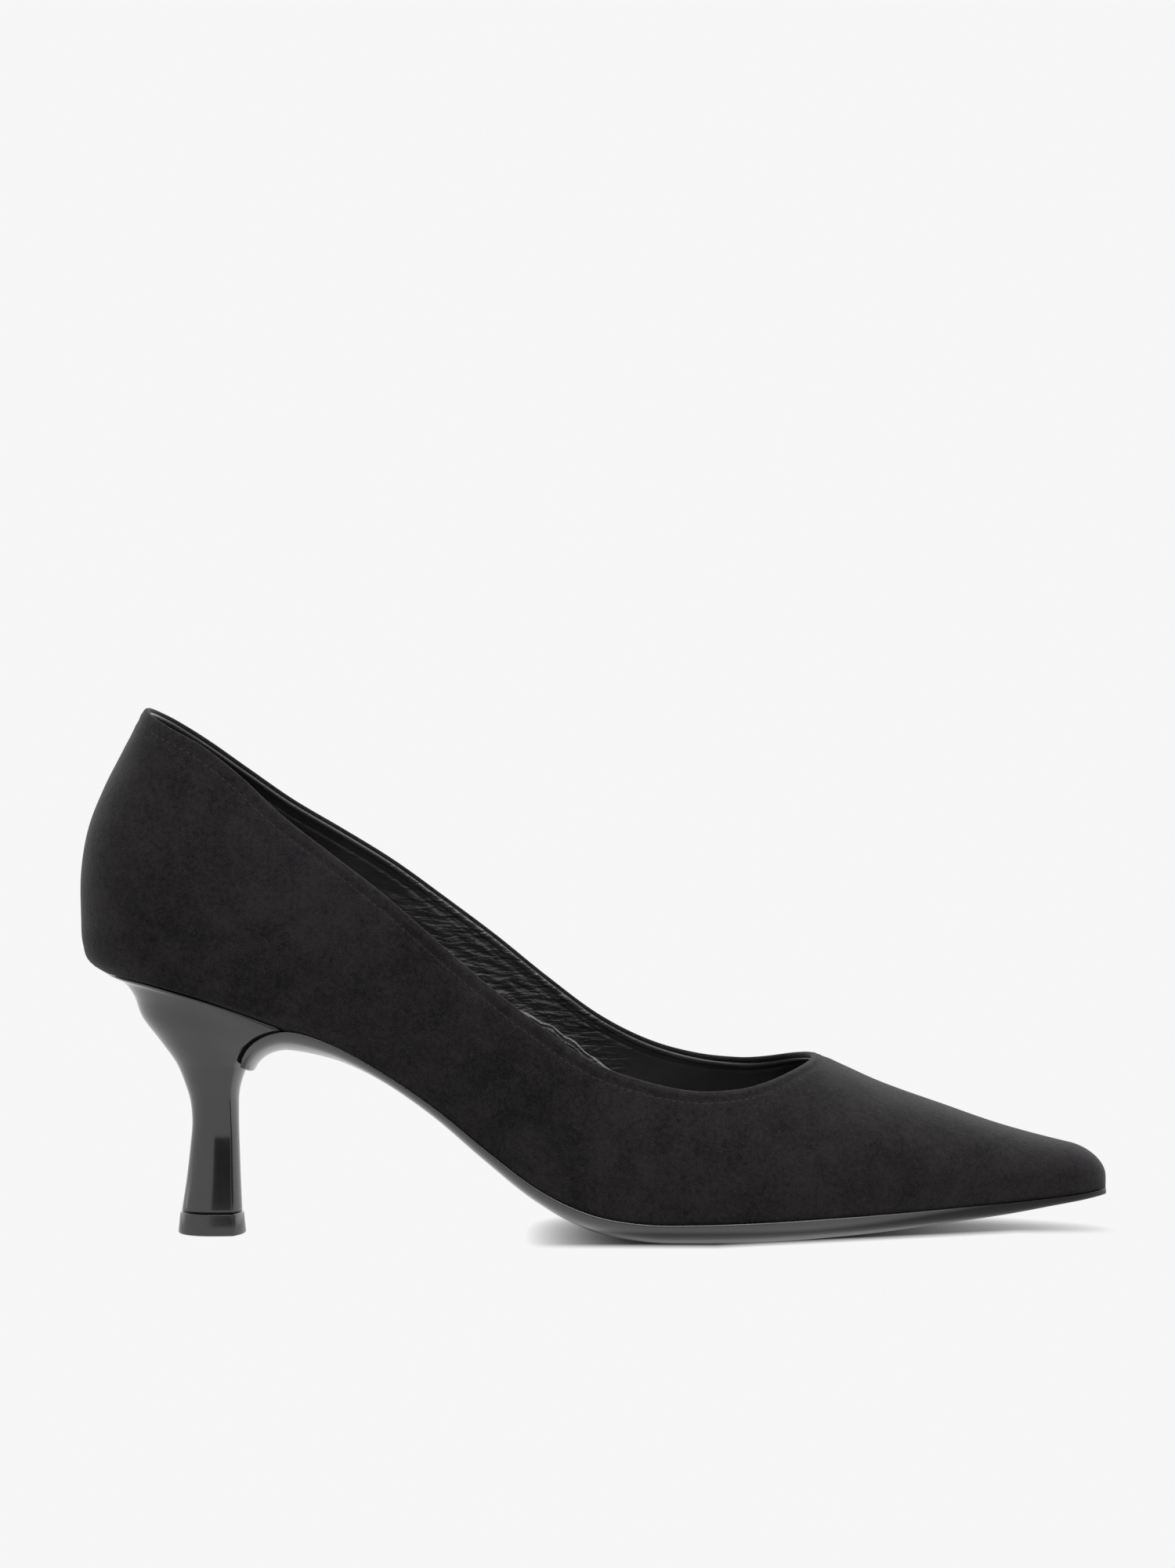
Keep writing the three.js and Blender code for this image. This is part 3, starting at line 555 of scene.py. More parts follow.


# Where the sole's wax coat ends over the floor, with painted shade darkening the colour below it, and how
# far that line rises to the toe, in metres
SHADE_AND_WAX_FOOT = 0.0046
SHADE_AND_WAX_FULL = 0.0062
SHADE_AND_WAX_TOE_RISE = 0.0062


def sole_finish():
    """Black resin soling: faint buffing along the shoe, an inked edge under a wax coat, a dull tread.

    Below a line a few millimetres over the floor, which rises with the toe spring, the wax coat stops and
    the colour is darkened to near black as painted shade.
    """
    finish = Finish("black_soling")
    buffing = finish.noise(900.0, 2.0, 0.6, stretch=(0.06, 1, 1))
    along = finish.node("ShaderNodeSeparateXYZ", inputs={0: finish.place}, output=0)
    height = finish.node("ShaderNodeSeparateXYZ", inputs={0: finish.place}, output=2)
    toe = finish.node("ShaderNodeMapRange", {"interpolation_type": "SMOOTHSTEP"}, {
        0: along, 1: 0.045, 2: 0.128, 3: 0.0, 4: SHADE_AND_WAX_TOE_RISE,
    })
    # Painted shade: below this line the base colour falls to near black; above it the wax coat goes on
    waxed_and_unshaded = finish.node("ShaderNodeMapRange", {"interpolation_type": "SMOOTHSTEP"}, {
        0: height - toe, 1: SHADE_AND_WAX_FOOT, 2: SHADE_AND_WAX_FULL, 3: 0.0, 4: 1.0,
    })
    finish.set(
        Base_Color=finish.blend(waxed_and_unshaded, (0.004, 0.004, 0.0042), (0.030, 0.030, 0.034)),
        Roughness=(buffing * 0.12 + 0.34), Normal=finish.relief(buffing, 0.00005, 0.3),
        Specular_IOR_Level=0.25, Coat_Weight=waxed_and_unshaded, Coat_IOR=1.52, Coat_Roughness=0.22,
    )
    return finish.material


def heel_finish():
    """Glossy black moulded plastic, with the slightest waviness and rare fine dust."""
    finish = Finish("black_gloss")
    waves = finish.noise(45.0, 2.0)
    haze = finish.noise(420.0, 4.0, 0.65)
    finish.set(
        Base_Color=(0.0125, 0.0125, 0.013, 1), Roughness=(haze * 0.06 + 0.09),
        Normal=finish.relief(waves, 0.0002, 0.25), IOR=1.68,
    )
    return finish.material


def top_piece_finish():
    """Matte black wear piece, finely pitted."""
    finish = Finish("black_top_piece")
    pits = finish.noise(1500.0, 3.0, 0.6)
    finish.set(
        Base_Color=finish.blend(pits, (0.012, 0.012, 0.012), (0.03, 0.03, 0.03)),
        Roughness=0.24, Normal=finish.relief(pits, 0.00004, 0.3), IOR=1.6,
    )
    return finish.material


def thread_finish():
    """Waxed black thread, twisted."""
    finish = Finish("black_thread")
    twist = finish.noise(5200.0, 1.0)
    finish.set(
        Base_Color=finish.blend(twist, (0.014, 0.014, 0.0145), (0.034, 0.034, 0.036)),
        Roughness=0.75, Specular_IOR_Level=0.25,
    )
    return finish.material


# The upper's wall

SUEDE_THICKNESS = 1.0
FOLD_THICKNESS = 1.4
FOLD_DEPTH = 1.5
LINING_DROP = 0.55
LINING_THICKNESS = 0.55
STITCH_DEPTH = 2.1
STITCH_PITCH = 1.85
SKIN_ROWS = 56
ROLL_STEPS = 5
TUCK = 0.25


class WallSheet:
    """The upper's skin as one sheet of points: lateral side up, then medial side down, row by row.

    Rows run along the stations. Each row goes from the lateral margin under the foot up the skin to
    the topline or ridge, and down the other side, so the topline is a closed loop in the sheet.
    """

    def __init__(self, drop, rise=None, rows=np.linspace(0, 1, SKIN_ROWS + 1)):
        throat = THROAT + drop / LENGTH
        self.s = stations(0, 36, 120, 34, 62, 26, throat)
        margin = stations(LASTING_MARGIN, 36, 120, 34, 62, 26, throat)
        sides = []
        for side in ("lat", "med"):
            lower = drop - rise(side, self.s) if rise else drop
            top = np.where(self.s < throat, topline_share(side, self.s, lower, throat), 1.0)
            share = top[:, None] * rows[None, :]
            points = skin(side, self.s[:, None], share)
            points[:, 0] = bottom(self.s, SIDES[side], 0, 0)
            under = bottom(margin, SIDES[side], LASTING_MARGIN, 0)
            sides.append(np.concatenate([under[:, None], points], axis=1))
        self.grid = np.stack(sides)
        self.columns = len(rows) + 1
        self.throat_row = int(np.searchsorted(self.s, throat - SAME_POINT / LENGTH))
        self.normals = self.vertex_normals()

    def vertex_normals(self):
        """Normals from the grid's differences, turned outwards, and shared where the sides meet."""
        along = np.gradient(self.grid, axis=1)
        up = np.gradient(self.grid, axis=2)
        normals = np.cross(along, up)
        normals[1] *= -1
        for row in (0, len(self.s) - 1):
            shared = normals[0, row] + normals[1, row]
            normals[0, row] = shared
            normals[1, row] = shared
        ridge = normals[0, self.throat_row:, -1] + normals[1, self.throat_row:, -1]
        normals[0, self.throat_row:, -1] = ridge
        normals[1, self.throat_row:, -1] = ridge
        size = np.linalg.norm(normals, axis=-1, keepdims=True)
        return normals / np.maximum(size, 1e-12)

    def topline(self):
        """Points, outward normals and upward directions round the opening, lateral side first."""
        end = self.throat_row + 1
        lateral = self.grid[0, :end, -1]
        medial = self.grid[1, 1:end - 1, -1][::-1]
        points = np.concatenate([lateral, medial])
        normals = np.concatenate([self.normals[0, :end, -1], self.normals[1, 1:end - 1, -1][::-1]])
        ahead = np.roll(points, -1, axis=0) - np.roll(points, 1, axis=0)
        upward = np.cross(ahead, normals)
        upward /= np.maximum(np.linalg.norm(upward, axis=1, keepdims=True), 1e-12)
        below = np.concatenate([self.grid[0, :end, -3], self.grid[1, 1:end - 1, -3][::-1]])
        flip = np.sum((points - below) * upward, axis=1) < 0
        upward[flip] *= -1
        return points, normals, upward

    def layer(self, offset):
        """The sheet moved along its normals by offset, an array over sides, rows and columns."""
        return self.grid + self.normals * offset[..., None]

    def number(self, side, row, column):
        return (side * len(self.s) + row) * self.columns + column


def distance_to(points, loop):
    """Distance of each point to the nearest point of a finely drawn loop, in blocks."""
    flat = points.reshape(-1, 3)
    nearest = np.empty(len(flat))
    block = 3000
    for start in range(0, len(flat), block):
        part = flat[start:start + block]
        square = (part**2).sum(1)[:, None] + (loop**2).sum(1)[None, :] - 2 * part @ loop.T
        nearest[start:start + block] = np.sqrt(np.maximum(square.min(1), 0))
    return nearest.reshape(points.shape[:-1])


def refined(loop, factor):
    """A closed loop with straight points added between its own."""
    ahead = np.roll(loop, -1, axis=0)
    t = np.arange(factor) / factor
    return (loop[:, None] * (1 - t[None, :, None]) + ahead[:, None] * t[None, :, None]).reshape(-1, 3)


def wall_solid(sheet, outside, inside, roll):
    """Closed wall from two layers of a sheet, joined round the topline by a half-round edge.

    The edge runs from the outer layer's topline over to the inner one's: a half circle whose
    middle is halfway between them, pushed up by `roll` times half their distance.
    """
    per_layer = outside.size // 3
    side_size = len(sheet.s) * sheet.columns
    faces = []
    for layer, turned in ((0, False), (1, True)):
        for side in (0, 1):
            quads = grid_faces(len(sheet.s), sheet.columns, layer * per_layer + side * side_size)
            flip = turned != (side == 1)
            faces.append(quads[:, ::-1] if flip else quads)
    end = sheet.throat_row + 1
    lateral = sheet.number(0, np.arange(end), sheet.columns - 1)
    medial = sheet.number(1, np.arange(end - 2, 0, -1), sheet.columns - 1)
    ring = np.concatenate([lateral, medial])
    points = np.concatenate([outside.reshape(-1, 3), inside.reshape(-1, 3)])
    outer = points[ring]
    inner = points[ring + per_layer]
    upward = sheet.topline()[2]
    half = (outer - inner) / 2
    reach = np.linalg.norm(half, axis=1, keepdims=True) * roll
    turn = np.arange(1, ROLL_STEPS) / ROLL_STEPS * math.pi
    rolled = ((outer + inner) / 2 + half * np.cos(turn)[:, None, None]
              + upward * reach * np.sin(turn)[:, None, None])
    first = len(points)
    numbers = [ring] + [first + k * len(ring) + np.arange(len(ring)) for k in range(len(turn))]
    numbers.append(ring + per_layer)
    for lower, upper in zip(numbers, numbers[1:]):
        faces.append(np.stack([lower, np.roll(lower, -1), np.roll(upper, -1), upper], axis=1))
    for side in (0, 1):
        edge = sheet.number(side, np.arange(len(sheet.s)), 0)
        faces.append(np.stack([edge[:-1], edge[1:], edge[1:] + per_layer, edge[:-1] + per_layer], 1))
    return np.concatenate([points, rolled.reshape(-1, 3)]), np.concatenate(faces)


def wander(points, seed, wavelength, octaves=3):
    """Smooth random height over points, about -1 to 1: sines in random directions, summed."""
    random = np.random.default_rng(seed)
    total = np.zeros(points.shape[:-1])
    for octave in range(octaves):
        for _ in range(5):
            direction = random.normal(size=3)
            direction *= 2 * math.pi / (wavelength / 2**octave * np.linalg.norm(direction))
            total += np.sin(points @ direction + random.uniform(0, 2 * math.pi)) / 2**octave
    return total / 5


def make_upper(material):
    """The suede: the last's skin, swelling over the folded edge and drawn in along the stitches."""
    drop = FOLD_THICKNESS / 2
    sheet = WallSheet(drop)
    loop, _, _ = sheet.topline()
    depth = distance_to(sheet.grid, refined(loop, 4))
    fold = 0.22 * smooth_step(0, 0.7, depth) * (1 - smooth_step(1.3, 2.1, depth))
    seam = -0.2 * bump(depth, STITCH_DEPTH, 0.55)
    swell = 0.12 * bump(depth, 4.2, 1.6)
    unevenness = 0.1 * wander(sheet.grid, 4, 34.0) * smooth_step(1, 10, depth)
    outside = sheet.layer(fold + seam + swell + unevenness)
    thickness = mix(FOLD_THICKNESS, SUEDE_THICKNESS, smooth_step(FOLD_DEPTH, FOLD_DEPTH + 0.8, depth))
    inside = sheet.layer(-thickness)
    points, faces = wall_solid(sheet, outside, inside, 1.0)
    piece = make_piece("suede_upper", place(points), faces, material, ["upper"])
    return piece, sheet


def make_lining(material):
    """The lining: inside the suede, its rolled edge stitched a little below the fold.

    On the outer side's waist it has slipped up out of the fold, as a narrow bead with level folds.
    """
    rows = 1 - (1 - np.linspace(0, 1, LINING_ROWS)) ** 2
    sheet = WallSheet(LINING_DROP + FOLD_THICKNESS / 2, bead_rise, rows)
    loop, _, _ = sheet.topline()
    depth = distance_to(sheet.grid, refined(loop, 4))
    bead = bead_share(sheet) * (1 - smooth_step(3.5, 7.0, depth))
    folds = bead * (BEAD_FOLD * np.cos(2 * math.pi * depth / BEAD_PITCH + 2.5 * wander(sheet.grid, 21, 7.0))
                    - BEAD_INWARD)
    face = -(SUEDE_THICKNESS + LINING_THICKNESS + TUCK)
    lip = -0.35 * (1 - smooth_step(0.4, 1.4, depth)) * (1 - bead)
    seam = 0.22 * bump(depth, STITCH_DEPTH - LINING_DROP + 0.9, 0.45) * (1 - bead)
    outside = sheet.layer(folds - (SUEDE_THICKNESS + 0.05))
    inside = sheet.layer(face + lip + seam + folds + lining_creases(sheet))
    points, faces = wall_solid(sheet, outside, inside, 1.0)
    piece = make_piece("lining", place(points), faces, material)
    return piece, sheet


LINING_ROWS = 80
BEAD_AT = 0.473
BEAD_WIDTH = 0.042
BEAD_HEIGHT = 3.3
BEAD_RIPPLE = 0.1
BEAD_FOLD = 0.34
BEAD_PITCH = 1.0
BEAD_INWARD = 0.7


def bead_rise(side, s):
    """How far the lining has slipped up at each station: a rippled bell on the outer side only."""
    ripple = 1 + BEAD_RIPPLE * np.sin(s * 290.0)
    return BEAD_HEIGHT * ripple * bump(s, BEAD_AT, BEAD_WIDTH) * (side == "lat")


def bead_share(sheet):
    outer = bump(sheet.s, BEAD_AT, BEAD_WIDTH)
    return np.stack([outer, np.zeros_like(outer)])[:, :, None]


# The inner wall's wrinkles: heights that they fill, the wall's edge there and their form
WRINKLE_HEIGHTS = (49.0, 84.0)
WRINKLE_PITCH = 1.35
EDGE_HEIGHT = 89.0
EDGE_ALONG = 79.0
EDGE_FALL = 0.743
WRINKLE_SLOPE = 0.13
WRINKLE_WIDTH = 0.42
WRINKLE_DEPTH = 0.62


def wrinkles(points):
    """Soft ridges on the inner wall, lying nearly level below the falling edge, two or three a row.

    Each is a bell across its line times a flat-topped bell along it.
    """
    random = np.random.default_rng(31)
    along = points[..., 0]
    up = points[..., 2]
    total = np.zeros(along.shape)
    for height in np.arange(*WRINKLE_HEIGHTS, WRINKLE_PITCH):
        edge = EDGE_ALONG + (EDGE_HEIGHT - height) / EDGE_FALL
        for back in (6.5, 12.5, 19.0):
            middle = edge - back + random.normal(0, 1.2)
            half = random.uniform(1.8, 3.8)
            line = up - height - random.normal(0, 0.3) + WRINKLE_SLOPE * (along - middle)
            ridge = bump(line, 0, WRINKLE_WIDTH * random.uniform(0.7, 1.2))
            total += random.uniform(0.4, 1.0) * ridge * np.exp(-(((along - middle) / half) ** 4))
    return WRINKLE_DEPTH * total


def lining_creases(sheet):
    """Soft unevenness all over, and the inner wall's wrinkles standing up from it."""
    creases = 0.08 * wander(sheet.grid, 9, 26.0)
    creases[1] -= wrinkles(sheet.grid[1])
    return creases


def make_stitches(name, sheet, material, depth, lift, inward):
    """A row of stitches: short sunk capsules, evenly spaced round the topline, `depth` below it.

    Each stitch is an ellipsoid of rings along the row's direction, tapering to both ends.
    """
    loop, normals, upward = sheet.topline()
    row = loop - upward * depth + normals * (lift - inward)
    fine = refined(row, 6)
    facing = refined(normals, 6)
    steps = np.linalg.norm(np.roll(fine, -1, axis=0) - fine, axis=1)
    travelled = np.concatenate([[0], np.cumsum(steps)])
    count = int(travelled[-1] / STITCH_PITCH)
    at = np.arange(count) * travelled[-1] / count
    closed = np.concatenate([fine, fine[:1]])
    centre = np.stack([np.interp(at, travelled, closed[:, axis]) for axis in range(3)], axis=1)
    closed_facing = np.concatenate([facing, facing[:1]])
    normal = np.stack([np.interp(at, travelled, closed_facing[:, axis]) for axis in range(3)], axis=1)
    normal /= np.linalg.norm(normal, axis=1, keepdims=True)
    ahead = np.roll(centre, -1, axis=0) - np.roll(centre, 1, axis=0)
    ahead /= np.linalg.norm(ahead, axis=1, keepdims=True)
    across = np.cross(normal, ahead)
    along = np.linspace(-1, 1, 7) * 0.98
    radius = STITCH_RADIUS * np.sqrt(1 - along**2)
    turn = np.arange(8) / 8 * 2 * math.pi
    half = STITCH_PITCH * STITCH_FILL / 2
    rings = (centre[:, None, None] + ahead[:, None, None] * (along * half)[:, None, None]
             + (normal[:, None, None] * np.cos(turn)[:, None]
                + across[:, None, None] * np.sin(turn)[:, None]) * radius[:, None, None])
    ring_size = len(turn)
    stitch_size = len(along) * ring_size
    tube = grid_faces(len(along), ring_size, close_columns=True)
    faces = (tube[None] + stitch_size * np.arange(count)[:, None, None]).reshape(-1, 4).tolist()
    for stitch in range(count):
        first = stitch * stitch_size
        faces.append(list(range(first + ring_size - 1, first - 1, -1)))
        faces.append(list(range(first + stitch_size - ring_size, first + stitch_size)))
    return make_piece(name, place(rings.reshape(-1, 3)), faces, material)


STITCH_RADIUS = 0.14
STITCH_FILL = 0.72


# The insole, the outsole and its flap

def across(count):
    """Shares from side to side, closer together toward the edges."""
    return np.sin(np.linspace(-1, 1, count) * math.pi / 2)


def ring_solid(rings):
    """Closed solid from a grid of closed rings, with its first and last ring filled by a fan."""
    count, size = rings.shape[:2]
    faces = grid_faces(count, size, close_columns=True).tolist()
    centres = [rings[0].mean(0), rings[-1].mean(0)]
    points = np.concatenate([rings.reshape(-1, 3), centres])
    first = count * size
    for i in range(size):
        ahead = (i + 1) % size
        faces.append([i, ahead, first])
        faces.append([(count - 1) * size + ahead, (count - 1) * size + i, first + 1])
    return points, faces


SOCK_COLUMNS = 40
SOCK_EDGE = 0.5


def make_sock(material):
    """The insole with its sock: the last's bottom raised and a little dished, with a square edge all round.

    Each ring goes over the top from side to side and back underneath.
    """
    inset = WALL + 2 * FIT
    s = stations(inset, 30, 110, 10, 50, 24)
    q = across(SOCK_COLUMNS)
    up = WALL + 2 * FIT
    top = bottom(s[:, None], q[None], inset, up + INSOLE_THICKNESS)
    low = bottom(s[:, None], q[None, ::-1], inset, up)
    dish = 0.5 * (1 - q**2)[None] * smooth_step(0.0, 0.12, s)[:, None]
    top[..., 2] -= dish
    top[..., 2] += 0.12 * wander(top, 12, 30.0)
    points, faces = ring_solid(np.concatenate([top, low], axis=1))
    return make_piece("sock", place(points), faces, material, ["insole"])


def flap_curve(t):
    """The flap's middle line: a Bezier curve from the sole's start down the heel's breast."""
    start_s = np.array(SOLE_START)
    nx, nz = bottom_normal(start_s)
    start = bottom(start_s, np.array(0.0), 0, -FIT)
    end_x = BREAST_FROM_BACK + FLAP_END_FORWARD
    run = FLAP_RUN * (start[0] - end_x)
    x = bezier(start[0], start[0] - nz * run, end_x + FLAP_LEAN * run, end_x, t)
    high = mix(FLAP_END_HEIGHT, start[2], FLAP_LEAN_START)
    z = bezier(start[2], start[2] + nx * run, high, FLAP_END_HEIGHT, t)
    return x, z


def flap_normal(t):
    """Unit normal of the flap's line, pointing at the heel."""
    from_x, from_z = flap_curve(np.maximum(t - FLAP_NORMAL_STEP, 0))
    to_x, to_z = flap_curve(np.minimum(t + FLAP_NORMAL_STEP, 1))
    size = np.hypot(to_x - from_x, to_z - from_z)
    return (to_z - from_z) / size, (from_x - to_x) / size


def flap_crown(t):
    start = last("crown", SOLE_START) * BOTTOM_CROWN
    full = mix(start, FLAP_CROWN, np.minimum(1, 2 * t))
    return mix(full, FLAP_END_CROWN * FLAP_CROWN, t * t)


def flap_half(side, t):
    return mix(last(side + "Foot", SOLE_START) * BALL_WIDTH, FLAP_END_WIDTH / 2, t * t)


def sole_depth(s, q, under):
    """Depth below the fit line: a superellipse quarter that rounds the sole's lower edge."""
    return OUTSOLE_THICKNESS * last("sole", s) * (1 - SOLE_ROUNDING * q**4) * under


def sole_section(s, q, under):
    """One point of the outsole at station s: q across, `under` from 0 (top) to 1 (tread)."""
    edge = SOLE_EDGE * np.minimum(1, (s - SOLE_START) / (BALL - SOLE_START))
    points = bottom(s, q, 0, -(SOLE_FIT + sole_depth(s, q, under)))
    points[..., 1] += q * edge
    points[..., 2] = np.maximum(points[..., 2], 0)
    return points


def flap_section(t, q, under):
    """One point of the flap at share t down the breast."""
    x, z = flap_curve(t)
    nx, nz = flap_normal(t)
    raised = flap_crown(t) * np.abs(q) ** BOTTOM_POWER - sole_depth(SOLE_START, q, under)
    half = np.where(q < 0, flap_half("lat", t), flap_half("med", t))
    return np.stack(np.broadcast_arrays(x + nx * raised, q * half, z + nz * raised), axis=-1)


SOLE_COLUMNS = 36
EDGE_STEPS = 7
EDGE_ROUND = 0.13
FLAP_ROWS = 40


def ring_shares():
    """Shares (q, under) round the sole's section: over the top, round one edge, below and back.

    The edge is a quarter ellipse from the top's corner down to the tread.
    """
    turn = np.arange(1, EDGE_STEPS) / EDGE_STEPS * math.pi / 2
    edge_q = 1 - EDGE_ROUND * (1 - np.cos(turn))
    edge_under = np.sin(turn)
    top = across(SOLE_COLUMNS)
    low = across(SOLE_COLUMNS) * (1 - EDGE_ROUND)
    q = np.concatenate([top, edge_q, low[::-1], -edge_q[::-1]])
    under = np.concatenate([np.zeros(SOLE_COLUMNS), edge_under, np.ones(SOLE_COLUMNS), edge_under[::-1]])
    return q, under


JOIN_REACH = 9
JOIN_PASSES = 40


def eased(rings, join):
    """Rings smoothed along the piece round one row: averages with both neighbours, passed often."""
    near = np.arange(len(rings)) - join
    weight = 0.5 * np.maximum(0, 1 - (near / JOIN_REACH) ** 2)[1:-1, None, None]
    for _ in range(JOIN_PASSES):
        middle = (rings[:-2] + rings[2:]) / 2
        rings[1:-1] = mix(rings[1:-1], middle, weight)
    return rings


def make_outsole(material):
    """The outsole: a rounded section carried along the last's bottom, then down the breast."""
    q, under = ring_shares()
    along = stations(0, 30, 130, 12, 60, 24)
    s = np.concatenate([[SOLE_START], along[along > SOLE_START + SAME_STATION / 2]])
    t = np.linspace(1, 0, FLAP_ROWS, endpoint=False)
    flap = flap_section(t[:, None], q[None], under[None])
    sole = sole_section(s[:, None], q[None], under[None])
    points, faces = ring_solid(eased(np.concatenate([flap, sole]), FLAP_ROWS))
    return make_piece("sole", place(points), faces, material, ["outsole"])


# The heel and its top piece

def heel_at(name, down):
    return np.minimum(look_up(HEEL_COLUMNS, HEEL_ROWS, name, down), 1)


def stem_side(share):
    """The stem's section from its back to the breast's corner, in shares: round, then nearly flat."""
    power = 2 / STEM_BACK_POWER
    angle = np.minimum(share / STEM_SIDE_START, 1) * math.pi / 2
    u = np.maximum(share - STEM_SIDE_START, 0) / (1 - STEM_SIDE_START)
    back = share < STEM_SIDE_START
    along = np.where(back, 0.5 - 0.5 * np.maximum(np.cos(angle), 0) ** power, mix(0.5, CORNER_ALONG, u))
    half = np.where(back, np.sin(angle) ** power, mix(1.0, CORNER_ACROSS, u * u))
    return along, half


RIM_SIDE = 70
RIM_FRONT = 37
HEEL_LEVELS = 110


def seat_rim():
    """The seat's rim from the back round the lateral side, the breast and the medial side.

    Gives its points and the place that each takes round the stem, in shares.
    """
    turn = np.arange(RIM_SIDE) / RIM_SIDE
    start = SEAT_INSET / LENGTH
    s = mix(start, SEAT_END, (1 - np.cos(turn * math.pi / 2)) ** 1.1)
    place_along, place_half = stem_side((np.arange(RIM_SIDE) / RIM_SIDE) ** RIM_SPREAD)
    front = np.linspace(-1, 1, RIM_FRONT)
    lateral = bottom(s, np.full_like(s, -1.0), SEAT_INSET, -FIT)
    medial = bottom(s, np.full_like(s, 1.0), SEAT_INSET, -FIT)[:0:-1]
    breast = bottom(np.full_like(front, SEAT_END), front, SEAT_INSET, -FIT)
    points = np.concatenate([lateral, breast, medial])
    front_along = mix(CORNER_ALONG, 1.0, 1 - front**2)
    along = np.concatenate([place_along, front_along, place_along[:0:-1]])
    half = np.concatenate([-place_half, CORNER_ACROSS * front, place_half[:0:-1]])
    return points, along, half


def heel_section(down, rim):
    """The heel's section `down` of the way from seat to tip: seat and stem outlines mixed."""
    points, stem_along, stem_half = rim
    tip_top = TOP_PIECE_HEIGHT + FIT
    seat_back = points[0]
    seat_front = bottom(np.array(SEAT_END), np.array(0.0), SEAT_INSET, -FIT)
    flare = heel_at("flare", down)
    shape = heel_at("shape", down)
    t = heel_at("flap", down)
    flap_x, flap_z = flap_curve(t)
    nx, nz = flap_normal(t)
    breast_up = heel_at("breastUp", down)
    settle = np.minimum(1, BREAST_SETTLE * (1 - breast_up))
    seat_half = last("latFoot", SEAT_END) * BALL_WIDTH - SEAT_INSET
    back_x = mix(seat_back[0], BREAST_FROM_BACK - STEM_LENGTH, heel_at("back", down))
    back_x = mix(back_x, BREAST_FROM_BACK + TIP_FORWARD - TIP_LENGTH, flare)
    back_z = mix(tip_top, seat_back[2], heel_at("backUp", down))
    stem_front = BREAST_FROM_BACK + TIP_FORWARD * flare
    front_x = mix(flap_x + nx * BREAST_FIT, stem_front, settle * (2 - settle))
    front_z = mix(tip_top, flap_z + nz * BREAST_FIT, breast_up)
    half = mix(seat_half, STEM_WIDTH / 2, heel_at("narrow", down))
    half = mix(half, TIP_WIDTH / 2, flare)
    seat_along = (points[:, 0] - seat_back[0]) / (seat_front[0] - seat_back[0])
    along = mix(seat_along, stem_along, shape)
    y = mix(points[:, 1] / seat_half, stem_half, shape) * half
    bow = points[:, 2] - mix(seat_back[2], seat_front[2], seat_along)
    flap_side = np.where(y < 0, flap_half("lat", t), flap_half("med", t))
    beside = np.minimum(np.abs(y) / flap_side, WIDEST_SHARE) ** BOTTOM_POWER
    near_front = along**CROWN_NEAR_FRONT
    retreat = flap_crown(t) * breast_up**CROWN_FADE * beside * near_front
    z = mix(back_z, front_z, along) + bow * (1 - shape) * (1 - near_front)
    x = mix(back_x, front_x, along)
    return np.stack([x + nx * retreat, y, z + nz * retreat], axis=1)


def softened(ring, times):
    """A closed ring smoothed by averaging each point with its neighbours, for a worn edge."""
    for _ in range(times):
        ring = ring * 0.5 + (np.roll(ring, 1, axis=0) + np.roll(ring, -1, axis=0)) * 0.25
    return ring


def make_heel(material):
    """The heel block: sections from the seat down to the tip, its breast's corners softened."""
    rim = seat_rim()
    levels = np.linspace(0, 1, HEEL_LEVELS)
    rings = [softened(heel_section(down, rim), 2) for down in levels]
    seat = rim[0]
    points, faces = ring_solid(np.array([seat, *rings]))
    return make_piece("heel_block", place(points), faces, material, ["heel"])


def make_top_piece(material):
    """The top piece: the heel's foot, grown by a lip, flared and bevelled down to the floor."""
    foot = softened(heel_section(1.0, seat_rim()), 2)

    def ring(grow, z):
        grown = foot.copy()
        grown[:, 0] = TIP_MIDDLE + (foot[:, 0] - TIP_MIDDLE) * (1 + 2 * grow / TIP_LENGTH)
        grown[:, 1] = foot[:, 1] * (1 + 2 * grow / TIP_WIDTH)
        grown[:, 2] = z
        return grown

    lip = TOP_PIECE_LIP
    wide = TOP_PIECE_LIP + TOP_PIECE_FLARE
    rings = [
        ring(lip - 0.25, TOP_PIECE_HEIGHT), ring(lip - 0.07, TOP_PIECE_HEIGHT - 0.07),
        ring(lip, TOP_PIECE_HEIGHT - 0.25), ring(mix(lip, wide, 0.5), TOP_PIECE_HEIGHT / 2),
        ring(wide, TOP_PIECE_BEVEL), ring(wide - 0.15, 0.12), ring(wide - TOP_PIECE_BEVEL, 0.0),
    ]
    points, faces = ring_solid(np.array(rings))
    return make_piece("heel_tip", place(points), faces, material, ["top_piece"])


# The stage: camera, floor and light

CAMERA_DISTANCE = 1.5
CAMERA_HEIGHT = 0.228
CAMERA_ASIDE = -0.00186
CAMERA_YAW = math.radians(1.0)
CAMERA_PITCH = math.radians(4.414)
CAMERA_LENS = 139.5
SENSOR_LONG_SIDE = 36.0
AXIS_OFFSET = -0.00047


def make_camera():
    """The photograph's view: from the shoe's outer side, a little above, turned toward the heel."""
    data = bpy.data.cameras.new("camera")
    data.sensor_width = SENSOR_LONG_SIDE
    data.lens = CAMERA_LENS
    data.clip_end = 20
    camera = bpy.data.objects.new("camera", data)
    turn_x, turn_y = math.cos(CAMERA_YAW), math.sin(CAMERA_YAW)
    camera.location = (
        CAMERA_ASIDE * turn_x + CAMERA_DISTANCE * turn_y,
        CAMERA_ASIDE * turn_y - CAMERA_DISTANCE * turn_x + AXIS_OFFSET,
        CAMERA_HEIGHT,
    )
    camera.rotation_euler = (math.pi / 2 - CAMERA_PITCH, 0, CAMERA_YAW)
    bpy.context.scene.collection.objects.link(camera)
    bpy.context.scene.camera = camera


FLOOR_GREY = 0.925
